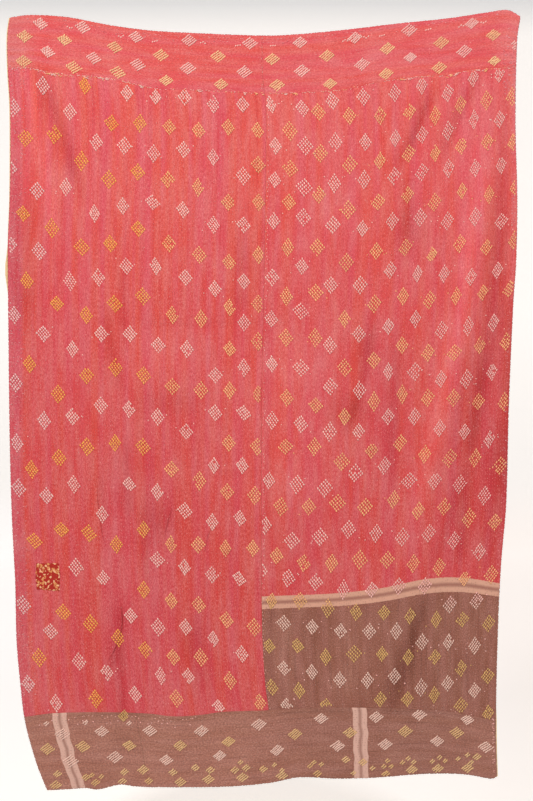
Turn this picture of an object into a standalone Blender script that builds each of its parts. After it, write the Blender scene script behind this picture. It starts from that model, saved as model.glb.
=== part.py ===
"""Kantha quilt: two layers of worn cotton, held up by the top corners and hanging free.

The front is pieced from five lengths of patterned cloth and carries one small mend. A plain yellow
cloth backs it all. The front faces -Y and +Z is up. The origin is at the middle of the top edge,
between the two layers. Every piece is bent by the same folds, so the layers stay parallel.
"""
import math
from collections import namedtuple

import bmesh
import bpy

MM = 0.001

# ---------------------------------------------------------------- driving sizes

CLOTH_THICKNESS = 1.3 * MM
PATCH_THICKNESS = 0.9 * MM
LAYER_GAP = 0.3 * MM                # between the two layers, and between neighbouring pieces

LEFT_COLUMNS = 24                   # grid steps from the left edge to the centre seam
RIGHT_COLUMNS = 24                  # and from the centre seam to the right edge
SHORT_COLUMNS = 11                  # of the left ones, those in the short piece of the bottom band
BAND_ROWS = 3                       # grid steps down each of the two bands
PANEL_ROWS = 21                     # and down the panels between them

BACKING_BULGE_DROP = 625 * MM       # where the backing bellies out past the left edge
BACKING_BULGE_HALF_HEIGHT = 75 * MM
BACKING_BULGE_OUT = 8 * MM
BACKING_BULGE_BACK = 1.5 * MM

PATCH_X = -577 * MM
PATCH_DROP = 1438 * MM
PATCH_WIDTH = 63 * MM
PATCH_HEIGHT = 71 * MM
PATCH_SKEW = 2 * MM                 # how far each side of the mend wanders from a true rectangle
PATCH_STEPS = 4

CORNERS_FORWARD = 8 * MM            # the held corners come this far in front of the sagging middle
CORNERS_REACH = 900 * MM
HALF_WIDTH = 675 * MM
HEM_WAVE = 13 * MM                   # the loose lower part waves in and out, most at the hem
HEM_WAVE_LENGTH = 430 * MM
HEM_WAVE_START = 700 * MM
HEM_DROP = 1990 * MM

# ---------------------------------------------------------------- outline and seams, in mm
# A drop is a distance down from the origin. The held corners are above it, at a negative drop.

Upright = namedtuple("Upright", "drop x")
Level = namedtuple("Level", "x drop")

LEFT_EDGE = (
    Upright(-46, -677),
    Upright(0, -683),
    Upright(90, -682),
    Upright(200, -676),
    Upright(430, -678),
    Upright(560, -683),
    Upright(810, -681),
    Upright(1130, -677),
    Upright(1290, -672),
    Upright(1450, -664),
    Upright(1610, -660),
    Upright(1715, -651),
    Upright(1820, -638),
    Upright(1925, -609),
    Upright(2003, -578),
)
CENTRE_SEAM = (
    Upright(0, -8),
    Upright(110, -6),
    Upright(200, 3),
    Upright(500, 0),
    Upright(970, -8),
    Upright(1550, -8),
    Upright(1725, 1),
    Upright(1795, 10),
    Upright(1990, 16),
)
RIGHT_EDGE = (
    Upright(-50, 678),
    Upright(10, 669),
    Upright(225, 665),
    Upright(430, 670),
    Upright(600, 667),
    Upright(700, 660),
    Upright(970, 648),
    Upright(1240, 641),
    Upright(1395, 628),
    Upright(1550, 620),
    Upright(1820, 614),
    Upright(1971, 617),
)

TOP_EDGE = (
    Level(-677, -46),
    Level(-625, -53),
    Level(-527, -48),
    Level(-412, -27),
    Level(-303, -13),
    Level(-173, -6),
    Level(0, 0),
    Level(80, -3),
    Level(210, -15),
    Level(348, -31),
    Level(487, -45),
    Level(604, -62),
    Level(645, -66),
    Level(678, -50),
)
TOP_SEAM = (
    Level(-682, 88),
    Level(-614, 90),
    Level(-572, 101),
    Level(-434, 112),
    Level(-351, 128),
    Level(-293, 141),
    Level(-186, 145),
    Level(0, 154),
    Level(80, 152),
    Level(210, 144),
    Level(282, 128),
    Level(386, 112),
    Level(492, 105),
    Level(543, 93),
    Level(667, 88),
)
BOTTOM_SEAM = (
    Level(-638, 1811),
    Level(-564, 1800),
    Level(-468, 1798),
    Level(-306, 1805),
    Level(-247, 1811),
    Level(-178, 1806),
    Level(-109, 1796),
    Level(10, 1794),
    Level(258, 1786),
    Level(450, 1794),
    Level(545, 1809),
    Level(614, 1824),
)
BOTTOM_EDGE = (
    Level(-578, 2003),
    Level(-476, 2000),
    Level(-386, 1995),
    Level(-293, 1998),
    Level(-154, 1995),
    Level(13, 1987),
    Level(88, 1975),
    Level(192, 1976),
    Level(386, 1963),
    Level(468, 1963),
    Level(543, 1968),
    Level(604, 1977),
    Level(617, 1971),
)

UPRIGHTS = (LEFT_EDGE, CENTRE_SEAM, RIGHT_EDGE)
LEVELS = (TOP_EDGE, TOP_SEAM, BOTTOM_SEAM, BOTTOM_EDGE)

# ---------------------------------------------------------------- folds, in mm
# A fold runs from one drop to another through three places across. Depth is how far it goes back,
# so a ridge that comes forward has a negative depth.

Fold = namedtuple("Fold", "top bottom x_top x_middle x_bottom half_width depth")
FOLDS = (
    Fold(50, 480, -610, -537, -470, 24, 9),          # pull from the left hand
    Fold(30, 640, -640, -588, -535, 28, -6),         # ridge outside it
    Fold(250, 780, -672, -664, -668, 24, 6),         # left edge turning away
    Fold(690, 980, -440, -407, -372, 26, 4),
    Fold(820, 1810, -352, -337, -276, 30, -7),       # long ridge down the left panel
    Fold(1040, 1330, -374, -378, -374, 24, 4),       # hollow beside it
    Fold(1480, 1770, -391, -385, -415, 26, 7),
    Fold(700, 1370, -2, 12, 12, 26, 4),              # hollow beside the centre seam
    Fold(110, 400, 465, 405, 335, 25, 7),            # pulls from the right hand
    Fold(80, 360, 585, 513, 462, 24, 7),
    Fold(60, 1140, 641, 622, 543, 28, 11),           # long trough down the right panel
    Fold(170, 1400, 563, 530, 366, 36, -8),          # ridge inside it
    Fold(730, 1270, 362, 344, 338, 26, 5),
    Fold(1130, 1440, 535, 527, 513, 30, 5),
    Fold(1460, 1850, 446, 380, 320, 28, 8),          # slanting hollow in the dark end
)
FOLD_END = 0.3                      # share of a fold's length over which each end fades out

Hollow = namedtuple("Hollow", "x drop half_width half_height depth")
HOLLOWS = (
    Hollow(-239, 1000, 70, 40, 3),
    Hollow(-279, 1300, 38, 60, 5),
    Hollow(-186, 1607, 38, 75, 5),
    Hollow(-53, 609, 30, 95, 4),
    Hollow(226, 1008, 50, 45, 5),
    Hollow(271, 835, 30, 55, 4),
    Hollow(386, 529, 45, 65, 5),
)

# ---------------------------------------------------------------- cloths

Cloth = namedtuple("Cloth", "color roughness")
ROSE = Cloth((0.62, 0.10, 0.11), 0.9)
BROWN = Cloth((0.27, 0.12, 0.09), 0.9)
YELLOW = Cloth((0.78, 0.56, 0.22), 0.9)
PRINT = Cloth((0.45, 0.05, 0.03), 0.9)

PANEL_TOP = BAND_ROWS
PANEL_BOTTOM = BAND_ROWS + PANEL_ROWS
LAST_ROW = PANEL_BOTTOM + BAND_ROWS
LAST_COLUMN = LEFT_COLUMNS + RIGHT_COLUMNS

Piece = namedtuple("Piece", "name first_column last_column first_row last_row cloth")
FRONT_PIECES = (
    Piece("top_band_left", 0, LEFT_COLUMNS, 0, PANEL_TOP, ROSE),
    Piece("top_band_right", LEFT_COLUMNS, LAST_COLUMN, 0, PANEL_TOP, ROSE),
    Piece("left_panel", 0, LEFT_COLUMNS, PANEL_TOP, PANEL_BOTTOM, ROSE),
    Piece("right_panel", LEFT_COLUMNS, LAST_COLUMN, PANEL_TOP, PANEL_BOTTOM, ROSE),
    Piece("bottom_band_left", 0, SHORT_COLUMNS, PANEL_BOTTOM, LAST_ROW, BROWN),
    Piece("bottom_band_right", SHORT_COLUMNS, LAST_COLUMN, PANEL_BOTTOM, LAST_ROW, BROWN),
)
BACKING = Piece("backing", 0, LAST_COLUMN, 0, LAST_ROW, YELLOW)


# ---------------------------------------------------------------- curves

def smooth_through(points, place):
    """The value at a place of a smooth line through (place, value) points in rising order."""
    first = 0
    while first < len(points) - 2 and place > points[first + 1][0]:
        first += 1
    start, end = points[first], points[first + 1]
    before = points[max(first - 1, 0)]
    after = points[min(first + 2, len(points) - 1)]
    step = end[0] - start[0]
    slope_start = (end[1] - before[1]) / (end[0] - before[0])
    slope_end = (after[1] - start[1]) / (after[0] - start[0])
    t = min(max((place - start[0]) / step, 0.0), 1.0)
    return ((1 + 2 * t) * (1 - t) ** 2 * start[1] + t ** 2 * (3 - 2 * t) * end[1]
            + t * (1 - t) ** 2 * step * slope_start + t ** 2 * (t - 1) * step * slope_end)


def between(lines, position, place):
    """The value at a place, between whole-numbered lines: position 0.5 is midway from 0 to 1."""
    first = min(int(position), len(lines) - 2)
    share = position - first
    return ((1 - share) * smooth_through(lines[first], place)
            + share * smooth_through(lines[first + 1], place))


def place_on_quilt(column, row):
    """The x and drop, in mm, of a grid point: it lies between two uprights and between two levels."""
    if column <= LEFT_COLUMNS:
        across = column / LEFT_COLUMNS
    else:
        across = 1 + (column - LEFT_COLUMNS) / RIGHT_COLUMNS
    if row <= PANEL_TOP:
        down = row / BAND_ROWS
    elif row <= PANEL_BOTTOM:
        down = 1 + (row - PANEL_TOP) / PANEL_ROWS
    else:
        down = 2 + (row - PANEL_BOTTOM) / BAND_ROWS
    x, drop = 0.0, 0.0
    for _ in range(8):
        x = between(UPRIGHTS, across, drop)
        drop = between(LEVELS, down, x)
    return x, drop


# ---------------------------------------------------------------- folds

def eased(share):
    """0 to 1 with a soft start and end."""
    share = min(max(share, 0.0), 1.0)
    return share * share * (3 - 2 * share)


def fold_depth(fold, x, drop):
    """How far one fold pushes the cloth back, in mm."""
    along = (drop - fold.top) / (fold.bottom - fold.top)
    if not 0 < along < 1:
        return 0.0
    middle = (fold.x_top * (1 - along) * (1 - 2 * along) + fold.x_middle * 4 * along * (1 - along)
              + fold.x_bottom * along * (2 * along - 1))
    fade = eased(min(along, 1 - along) / FOLD_END)
    return fold.depth * fade * math.exp(-((x - middle) / fold.half_width) ** 2)


def hollow_depth(hollow, x, drop):
    """How far one hollow pushes the cloth back, in mm."""
    across = (x - hollow.x) / hollow.half_width
    down = (drop - hollow.drop) / hollow.half_height
    return hollow.depth * math.exp(-across ** 2 - down ** 2)


def cloth_y(x, drop):
    """The depth in metres of the surface between the two layers, at an x and drop in mm."""
    depth = sum(fold_depth(fold, x, drop) for fold in FOLDS) * MM
    depth += sum(hollow_depth(hollow, x, drop) for hollow in HOLLOWS) * MM
    x, drop = x * MM, drop * MM
    depth -= CORNERS_FORWARD * (x / HALF_WIDTH) ** 2 * math.exp(-max(drop, 0) / CORNERS_REACH)
    loose = max(0, (drop - HEM_WAVE_START) / (HEM_DROP - HEM_WAVE_START)) ** 2
    return depth + HEM_WAVE * loose * math.sin(math.tau * x / HEM_WAVE_LENGTH)


# ---------------------------------------------------------------- pieces

def cloth_material(name, cloth):
    material = bpy.data.materials.new(name)
    material.use_nodes = True
    shader = material.node_tree.nodes["Principled BSDF"]
    shader.inputs["Base Color"].default_value = (*cloth.color, 1)
    shader.inputs["Roughness"].default_value = cloth.roughness
    shader.inputs["Metallic"].default_value = 0
    return material


def thicken(bm, thickness):
    """Give a flat-lying sheet its thickness along Y; a negative thickness goes to the front."""
    sides = bmesh.ops.extrude_face_region(bm, geom=bm.faces[:])
    moved = [item for item in sides["geom"] if isinstance(item, bmesh.types.BMVert)]
    bmesh.ops.translate(bm, verts=moved, vec=(0, thickness, 0))
    bmesh.ops.recalc_face_normals(bm, faces=bm.faces[:])


def add_object(bm, name, cloth, collection):
    mesh = bpy.data.meshes.new(name)
    bm.to_mesh(mesh)
    bm.free()
    mesh.materials.append(cloth_material(name, cloth))
    mesh.shade_smooth()
    mesh.set_sharp_from_angle(angle=math.radians(40))
    collection.objects.link(bpy.data.objects.new(name, mesh))


def unit_grid(columns, rows):
    """A grid whose corners are (0, 0) and (columns, rows), to be bent into a piece of cloth."""
    bm = bmesh.new()
    bmesh.ops.create_grid(bm, x_segments=columns, y_segments=rows, size=0.5)
    for vert in bm.verts:
        vert.co.x = (vert.co.x + 0.5) * columns
        vert.co.y = (0.5 - vert.co.y) * rows
    return bm


def inset(step, steps):
    """Half the gap between neighbours, inwards from the first and the last line of a piece."""
    if step == 0:
        return LAYER_GAP / 2
    if step == steps:
        return -LAYER_GAP / 2
    return 0.0


def bend_onto_quilt(bm, piece, offset):
    """Move a unit grid onto the quilt's surface, set off along Y."""
    columns = piece.last_column - piece.first_column
    rows = piece.last_row - piece.first_row
    for vert in bm.verts:
        column, row = round(vert.co.x), round(vert.co.y)
        x, drop = place_on_quilt(piece.first_column + column, piece.first_row + row)
        vert.co = (x * MM + inset(column, columns),
                   cloth_y(x, drop) + offset,
                   -drop * MM - inset(row, rows))


def build_front_piece(piece, collection):
    bm = unit_grid(piece.last_column - piece.first_column, piece.last_row - piece.first_row)
    bend_onto_quilt(bm, piece, -LAYER_GAP / 2)
    thicken(bm, -CLOTH_THICKNESS)
    add_object(bm, piece.name, piece.cloth, collection)


def build_backing(collection):
    """The yellow cloth, which bellies out past the left edge at one place."""
    bm = unit_grid(LAST_COLUMN, LAST_ROW)
    left_edge = [vert for vert in bm.verts if vert.co.x < 0.5]
    bend_onto_quilt(bm, BACKING, LAYER_GAP / 2)
    for vert in left_edge:
        off_middle = abs(-vert.co.z - BACKING_BULGE_DROP) / BACKING_BULGE_HALF_HEIGHT
        bulge = eased(1 - off_middle)
        vert.co.x -= BACKING_BULGE_OUT * bulge
        vert.co.y += BACKING_BULGE_BACK * bulge
    thicken(bm, CLOTH_THICKNESS)
    add_object(bm, BACKING.name, BACKING.cloth, collection)


def build_patch(collection):
    """A small mend sewn over the left panel, cut by eye and so not quite square."""
    bm = unit_grid(PATCH_STEPS, PATCH_STEPS)
    front = -LAYER_GAP / 2 - CLOTH_THICKNESS - LAYER_GAP
    for vert in bm.verts:
        across, down = vert.co.x / PATCH_STEPS - 0.5, vert.co.y / PATCH_STEPS - 0.5
        x = PATCH_X + PATCH_WIDTH * across + PATCH_SKEW * (down + across * math.cos(7 * down))
        drop = PATCH_DROP + PATCH_HEIGHT * down + PATCH_SKEW * (across + down * math.sin(5 * across))
        vert.co = (x, cloth_y(x / MM, drop / MM) + front, -drop)
    thicken(bm, -PATCH_THICKNESS)
    add_object(bm, "patch", PRINT, collection)


def main():
    for item in list(bpy.data.objects):
        bpy.data.objects.remove(item, do_unlink=True)
    collection = bpy.data.collections.new("kantha_quilt")
    bpy.context.scene.collection.children.link(collection)
    build_backing(collection)
    for piece in FRONT_PIECES:
        build_front_piece(piece, collection)
    build_patch(collection)


main()
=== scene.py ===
import math
from collections import namedtuple

import bpy
import numpy as np
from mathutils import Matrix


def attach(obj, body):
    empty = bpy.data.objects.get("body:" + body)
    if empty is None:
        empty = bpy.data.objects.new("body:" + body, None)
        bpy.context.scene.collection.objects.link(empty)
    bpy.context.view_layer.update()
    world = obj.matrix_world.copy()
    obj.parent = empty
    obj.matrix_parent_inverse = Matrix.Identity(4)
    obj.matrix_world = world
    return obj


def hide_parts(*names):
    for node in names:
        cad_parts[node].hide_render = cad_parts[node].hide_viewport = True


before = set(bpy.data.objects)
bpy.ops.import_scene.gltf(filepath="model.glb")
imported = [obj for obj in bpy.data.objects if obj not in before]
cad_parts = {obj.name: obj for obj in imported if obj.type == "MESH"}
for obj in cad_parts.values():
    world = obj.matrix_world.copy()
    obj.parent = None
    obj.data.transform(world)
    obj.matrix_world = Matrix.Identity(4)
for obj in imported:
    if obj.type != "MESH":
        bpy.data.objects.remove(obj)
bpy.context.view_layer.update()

MM = 0.001

# --------------------------------------
# Backing: one plain yellow cotton cloth behind the whole quilt, soft and worn thin.
# It is laid under the patterned cloths, and all of them are stitched through together, so it hangs
# in the same folds. It bellies out past the left edge at one place.

CLOTH_THICKNESS = 1.3 * MM
LAYER_GAP = 0.3 * MM                # between the two layers, and between neighbouring cloths
CLOTH_STEP = 8 * MM                 # size of a grid cell in a cloth
BACKING_STEP = 10.5 * MM
RIM_ROUNDING = 0.5 * MM
ROUNDED_ANGLE = 60                  # edges sharper than this many degrees are rounded
SMOOTH_ANGLE = 50

BACKING_BULGE_DROP = 625
BACKING_BULGE_HALF_HEIGHT = 75
BACKING_BULGE_OUT = 8
BACKING_BULGE_BACK = 1.5
BACKING_PEEP = 3.2                  # it shows past the left edge above, and the right edge below
LEFT_PEEP_END, LEFT_PEEP_FADE = 300, 500
RIGHT_PEEP_START, RIGHT_PEEP_FADE = 1750, 80
SHOWING_REACH = 28.125              # the bulge and the peep fade out this far inside the edge

CORNERS_FORWARD = 8                 # the held corners come this far in front of the sagging middle
CORNERS_REACH = 900
HALF_WIDTH = 675
HEM_WAVE = 13                       # the loose lower part waves in and out, most at the hem
HEM_WAVE_LENGTH = 430
HEM_WAVE_START = 700
HEM_DROP = 1990

PANEL_WIDTH = 0.665                 # the flat sizes that the pattern of a cloth is laid out in
TOP_BAND_HEIGHT = 0.15
PANEL_HEIGHT = 1.66
BOTTOM_BAND_HEIGHT = 0.19

# All places are in millimetres. A drop is a distance down from the middle of the top edge.
# Lines that run down are given as points of (drop, x), and lines that run across as (x, drop).
LEFT_EDGE = ((-46, -677), (0, -683), (90, -682), (200, -676), (430, -678), (560, -683), (810, -681),
             (1130, -677), (1290, -672), (1450, -664), (1610, -660), (1715, -651), (1820, -638),
             (1925, -609), (2003, -578))
CENTRE_SEAM = ((0, -8), (110, -6), (200, 3), (500, 0), (970, -8), (1550, -8), (1725, 1), (1795, 10),
               (1990, 16))
RIGHT_EDGE = ((-50, 678), (10, 669), (225, 665), (430, 670), (600, 667), (700, 660), (970, 648),
              (1240, 641), (1395, 628), (1550, 620), (1820, 614), (1971, 617))
UPRIGHTS = (LEFT_EDGE, CENTRE_SEAM, RIGHT_EDGE)

TOP_EDGE = ((-677, -46), (-625, -53), (-527, -48), (-412, -27), (-303, -13), (-173, -6), (0, 0), (80, -3),
            (210, -15), (348, -31), (487, -45), (604, -62), (645, -66), (678, -50))
TOP_SEAM = ((-682, 88), (-614, 90), (-572, 101), (-434, 112), (-351, 128), (-293, 141), (-186, 145),
            (0, 154), (80, 152), (210, 144), (282, 128), (386, 112), (492, 105), (543, 93), (667, 88))
BOTTOM_SEAM = ((-638, 1811), (-564, 1800), (-468, 1798), (-306, 1805), (-247, 1811), (-178, 1806),
               (-109, 1796), (10, 1794), (258, 1786), (450, 1794), (545, 1809), (614, 1824))
BOTTOM_EDGE = ((-578, 2003), (-476, 1998), (-445, 2003), (-386, 1993), (-345, 1999), (-293, 2001),
               (-154, 1995), (13, 1987), (88, 1975), (192, 1976), (386, 1963), (468, 1963), (543, 1968),
               (604, 1977), (617, 1971))
LEVELS = (TOP_EDGE, TOP_SEAM, BOTTOM_SEAM, BOTTOM_EDGE)

# Between which of these lines each cloth runs.
LEFT, RIGHT, WHOLE = (0, 1), (1, 2), (0, 2)
TOP_BAND_DOWN, PANELS_DOWN, BOTTOM_BAND_DOWN = (0, 1), (1, 2), (2, 3)

# A fold goes from one drop to another through three places across. Its depth is how far it goes
# back, so a ridge that comes forward has a negative depth. Its last value is painted shade: the
# share of the light painted out of the cloth's colour along it; below 0 it is a painted highlight.
Fold = namedtuple("Fold", "top bottom x_top x_middle x_bottom half_width depth soil")
FOLDS = (
    Fold(50, 480, -610, -537, -470, 24, 9, 0.26),          # pull from the left corner
    Fold(30, 640, -640, -588, -535, 28, -6, -0.10),        # ridge outside it
    Fold(250, 780, -672, -664, -668, 24, 6, 0.10),         # left edge turning away
    Fold(690, 980, -440, -407, -372, 26, 4, 0.08),
    Fold(820, 1810, -352, -337, -276, 30, -7, 0.0),        # long ridge down the left panel
    Fold(1040, 1330, -374, -378, -374, 24, 4, 0.08),       # hollow beside it
    Fold(1480, 1770, -391, -385, -415, 26, 7, 0.09),
    Fold(700, 1370, -2, 12, 12, 26, 4, 0.02),              # hollow beside the centre seam
    Fold(110, 400, 465, 405, 335, 25, 7, 0.19),            # pulls from the right corner
    Fold(80, 360, 585, 513, 462, 24, 7, 0.21),
    Fold(60, 1140, 641, 622, 543, 28, 11, 0.17),           # long trough down the right panel
    Fold(170, 1400, 563, 530, 366, 36, -8, -0.03),         # ridge inside it
    Fold(730, 1270, 362, 344, 338, 26, 5, 0.15),
    Fold(1130, 1440, 535, 527, 513, 30, 5, 0.12),
    Fold(1460, 1850, 446, 380, 320, 28, 8, 0.17),          # slanting hollow in the dark end
)
CREASES = (                                                # finer lines pressed into the worn cloth, with painted shade along them
    Fold(570, 860, -378, -376, -370, 13, 1.8, 0.13),
    Fold(700, 970, -418, -405, -374, 12, 1.4, 0.10),
    Fold(1065, 1315, -369, -362, -356, 12, 2, 0.12),
    Fold(1140, 1330, -440, -432, -426, 12, 2, 0.12),
    Fold(1230, 1490, -322, -318, -312, 14, 1.6, 0.10),
    Fold(1515, 1725, -394, -387, -432, 12, 3.2, 0.13),
    Fold(690, 1390, 6, 10, 8, 11, 1.2, 0.07),
    Fold(150, 340, 440, 405, 362, 14, 1.6, 0.15),
    Fold(340, 570, 370, 380, 372, 20, 2, 0.14),
    Fold(700, 1070, 290, 268, 212, 19, 1.8, 0.15),
    Fold(940, 1080, 250, 234, 218, 18, 1.2, 0.10),
    Fold(830, 1150, 588, 566, 540, 18, 1.5, 0.14),
    Fold(1120, 1480, 542, 487, 430, 24, 2.4, 0.12),
    Fold(620, 860, 512, 500, 486, 12, 1, 0.05),
    Fold(980, 1500, 622, 606, 590, 45, 0.5, 0.16),
    Fold(330, 1150, 640, 618, 540, 32, 0.5, 0.10),
    Fold(960, 1500, 556, 540, 505, 42, 0.5, 0.10),
    Fold(120, 1480, 618, 500, 345, 42, -0.5, -0.14),
    Fold(1430, 1840, 458, 388, 322, 46, 0.5, 0.12),
    Fold(1480, 1790, 10, 12, 16, 16, 0.3, 0.12),
    Fold(1600, 1850, -385, -382, -376, 18, 1, 0.16),
    Fold(600, 1340, 660, 654, 642, 46, 0.5, 0.28),
    Fold(790, 1190, 560, 548, 535, 60, 0.5, 0.10),
    Fold(360, 880, -628, -634, -634, 44, 0.5, 0.11),
    Fold(720, 1350, 50, 40, 50, 190, 0.3, -0.09),          # painted highlight in paler places
    Fold(1500, 1780, 40, 40, 40, 50, 0.3, -0.12),
    Fold(1480, 1780, 225, 220, 215, 50, 0.3, -0.11),
)
PAINTED_SHADE_WIDTH = 0.7                    # the painted shade fills this share of a fold's width
HOLLOW_PAINTED_SHADE = 0.032                 # and paints out this share of the light for each mm of a hollow
FOLD_END = 0.3                      # share of a fold's length over which each end fades out

Hollow = namedtuple("Hollow", "x drop half_width half_height depth")
HOLLOWS = (
    Hollow(-250, 982, 75, 34, 3.4),
    Hollow(-279, 1295, 46, 62, 5),
    Hollow(-186, 1607, 38, 75, 5),
    Hollow(-53, 609, 30, 95, 4),
    Hollow(226, 1008, 50, 45, 5),
    Hollow(271, 835, 30, 55, 4),
    Hollow(386, 529, 45, 65, 5),
    Hollow(-93, 1168, 60, 11, 1.4),
    Hollow(-173, 768, 190, 11, 1.8),
    Hollow(-271, 862, 82, 62, -2.2),
    Hollow(-645, 702, 26, 50, 2.8),
    Hollow(-642, 955, 22, 50, 2.8),
    Hollow(-70, 712, 30, 36, 2.4),
    Hollow(-172, 1715, 32, 44, 3),
    Hollow(125, 1575, 62, 55, 1.2),
)

PUCKER = 0.45                       # small rises and dips that the stitching draws up all over


def smooth_through(points, place):
    """The values at some places of a smooth line through (place, value) points in rising order."""
    places, values = np.array(points, float).T
    count = len(places)
    after = np.minimum(np.arange(count) + 1, count - 1)
    before = np.maximum(np.arange(count) - 1, 0)
    slopes = (values[after] - values[before]) / (places[after] - places[before])
    place = np.clip(place, places[0], places[-1])
    first = np.clip(np.searchsorted(places, place) - 1, 0, count - 2)
    step = places[first + 1] - places[first]
    t = (place - places[first]) / step
    return ((1 + 2 * t) * (1 - t) ** 2 * values[first] + t ** 2 * (3 - 2 * t) * values[first + 1]
            + t * (1 - t) ** 2 * step * slopes[first] + t ** 2 * (t - 1) * step * slopes[first + 1])


def between(lines, position, place):
    """The values at some places between numbered lines: position 0.5 is midway from 0 to 1."""
    return sum(np.clip(1 - abs(position - number), 0, 1) * smooth_through(line, place)
               for number, line in enumerate(lines))


def place_on_quilt(across, down):
    """The x and drop of points of the cloth. Across is 0 at the left edge, 1 at the centre seam and
    2 at the right edge. Down is 0 at the top edge, 1 and 2 at the seams and 3 at the hem."""
    x, drop = np.zeros(np.shape(across)), np.zeros(np.shape(across))
    for _ in range(8):
        x = between(UPRIGHTS, across, drop)
        drop = between(LEVELS, down, x)
    return x, drop


def eased(share):
    """0 to 1 with a soft start and end."""
    share = np.clip(share, 0, 1)
    return share * share * (3 - 2 * share)


def fold_share(fold, x, drop, half_width):
    """1 along the middle of a fold, fading to 0 at its sides and ends."""
    along = (drop - fold.top) / (fold.bottom - fold.top)
    middle = (fold.x_top * (1 - along) * (1 - 2 * along) + fold.x_middle * 4 * along * (1 - along)
              + fold.x_bottom * along * (2 * along - 1))
    fade = eased(np.minimum(along, 1 - along) / FOLD_END)
    return fade * np.exp(-((x - middle) / half_width) ** 2)


def hollow_depth(hollow, x, drop):
    """How far one hollow pushes the cloth back."""
    across = (x - hollow.x) / hollow.half_width
    down = (drop - hollow.drop) / hollow.half_height
    return hollow.depth * np.exp(-across ** 2 - down ** 2)


def hollows_depth(x, drop):
    """How far all the hollows push the cloth back."""
    return sum(hollow_depth(hollow, x, drop) for hollow in HOLLOWS)


def cloth_depth(x, drop):
    """How far back the surface between the two layers lies, all in mm. The pucker is made of waves
    a few centimetres long that bend, so that they don't repeat."""
    depth = sum(fold.depth * fold_share(fold, x, drop, fold.half_width) for fold in FOLDS + CREASES)
    depth = depth + hollows_depth(x, drop)
    depth -= CORNERS_FORWARD * (x / HALF_WIDTH) ** 2 * np.exp(-np.maximum(drop, 0) / CORNERS_REACH)
    loose = np.maximum(0, (drop - HEM_WAVE_START) / (HEM_DROP - HEM_WAVE_START)) ** 2
    depth += HEM_WAVE * loose * np.sin(math.tau * x / HEM_WAVE_LENGTH)
    pucker = np.sin(x / 15 + 2 * np.sin(drop / 61)) * np.sin(drop / 21 + 1.5 * np.sin(x / 47))
    pucker += np.sin(x / 8.3 + drop / 71 + 2 * np.sin(x / 90))
    return depth + PUCKER * pucker


def soil(x, drop):
    """Painted shade: how much darker the cloth is painted in a fold or hollow, and below 0 a painted
    highlight, how much paler it is painted on a ridge.
    """
    dark = sum(fold.soil * fold_share(fold, x, drop, fold.half_width * PAINTED_SHADE_WIDTH)
               for fold in FOLDS + CREASES)
    return dark + hollows_depth(x, drop) * HOLLOW_PAINTED_SHADE


def deselect():
    """New shapes start with nothing else selected, because an operator acts on all that is."""
    bpy.ops.object.select_all(action="DESELECT")


def points_of(piece):
    points = np.empty((len(piece.data.vertices), 3))
    piece.data.vertices.foreach_get("co", points.ravel())
    return points


def set_points(piece, points):
    piece.data.vertices.foreach_set("co", points.ravel())


def add_point_value(piece, name, values):
    """A value on each point, which a shader can read."""
    piece.data.attributes.new(name, "FLOAT", "POINT")
    piece.data.attributes[name].data.foreach_set("value", values.astype(np.float32))


def size_on_quilt(across, down):
    """The width and height in mm of a cloth that runs between these lines."""
    middle_across, middle_down = sum(across) / 2, sum(down) / 2
    x, drop = place_on_quilt(np.array([*across, middle_across, middle_across]),
                             np.array([middle_down, middle_down, *down]))
    return x[1] - x[0], drop[3] - drop[2]


def add_grid(name, columns, rows):
    deselect()
    bpy.ops.mesh.primitive_grid_add(x_subdivisions=columns, y_subdivisions=rows, size=1)
    grid = bpy.context.object
    grid.name = grid.data.name = name
    return grid


def thicken(sheet, thickness, rounding, segments):
    """Give a sheet its thickness behind its front face, and round its edges."""
    bpy.ops.object.modifier_add(type="SOLIDIFY")
    sheet.modifiers["Solidify"].thickness = thickness
    sheet.modifiers["Solidify"].offset = -1
    bpy.ops.object.modifier_apply(modifier="Solidify")
    bpy.ops.object.modifier_add(type="BEVEL")
    sheet.modifiers["Bevel"].width = rounding
    sheet.modifiers["Bevel"].segments = segments
    sheet.modifiers["Bevel"].angle_limit = math.radians(ROUNDED_ANGLE)
    bpy.ops.object.modifier_apply(modifier="Bevel")
    bpy.ops.object.shade_smooth_by_angle(angle=math.radians(SMOOTH_ANGLE))


def add_sheet(name, across, down, step, offset):
    """A cloth from one line across to another and from one line down to another. Its front face
    lies off the surface between the layers by the offset."""
    width, height = size_on_quilt(across, down)
    sheet = add_grid(name, round(width * MM / step), round(height * MM / step))
    points = points_of(sheet)
    share_across, share_down = points[:, 0] + 0.5, 0.5 - points[:, 1]
    across = across[0] + (across[1] - across[0]) * share_across
    down = down[0] + (down[1] - down[0]) * share_down
    x, drop = place_on_quilt(across, down)
    x += LAYER_GAP / MM * (0.5 - share_across)
    set_points(sheet, np.stack([x * MM, cloth_depth(x, drop) * MM + offset, -drop * MM], 1))
    lay_out_pattern(sheet, across, down)
    # a value on each point for the painted shade in the folds and the painted highlight on the ridges
    add_point_value(sheet, "soil", soil(x, drop))
    thicken(sheet, CLOTH_THICKNESS, RIM_ROUNDING, 2)
    return sheet


def lay_out_pattern(sheet, across, down):
    """A map of the cloth in flat metres, right and down, which its dye and weave follow."""
    heights = np.array([0, TOP_BAND_HEIGHT, PANEL_HEIGHT, BOTTOM_BAND_HEIGHT]).cumsum()
    flat = np.stack([across * PANEL_WIDTH, np.interp(down, range(4), heights)], 1)
    corners = np.empty(len(sheet.data.loops), int)
    sheet.data.loops.foreach_get("vertex_index", corners)
    sheet.data.uv_layers[0].name = "cloth"
    sheet.data.uv_layers["cloth"].uv.foreach_set("vector", flat[corners].astype(np.float32).ravel())


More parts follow.
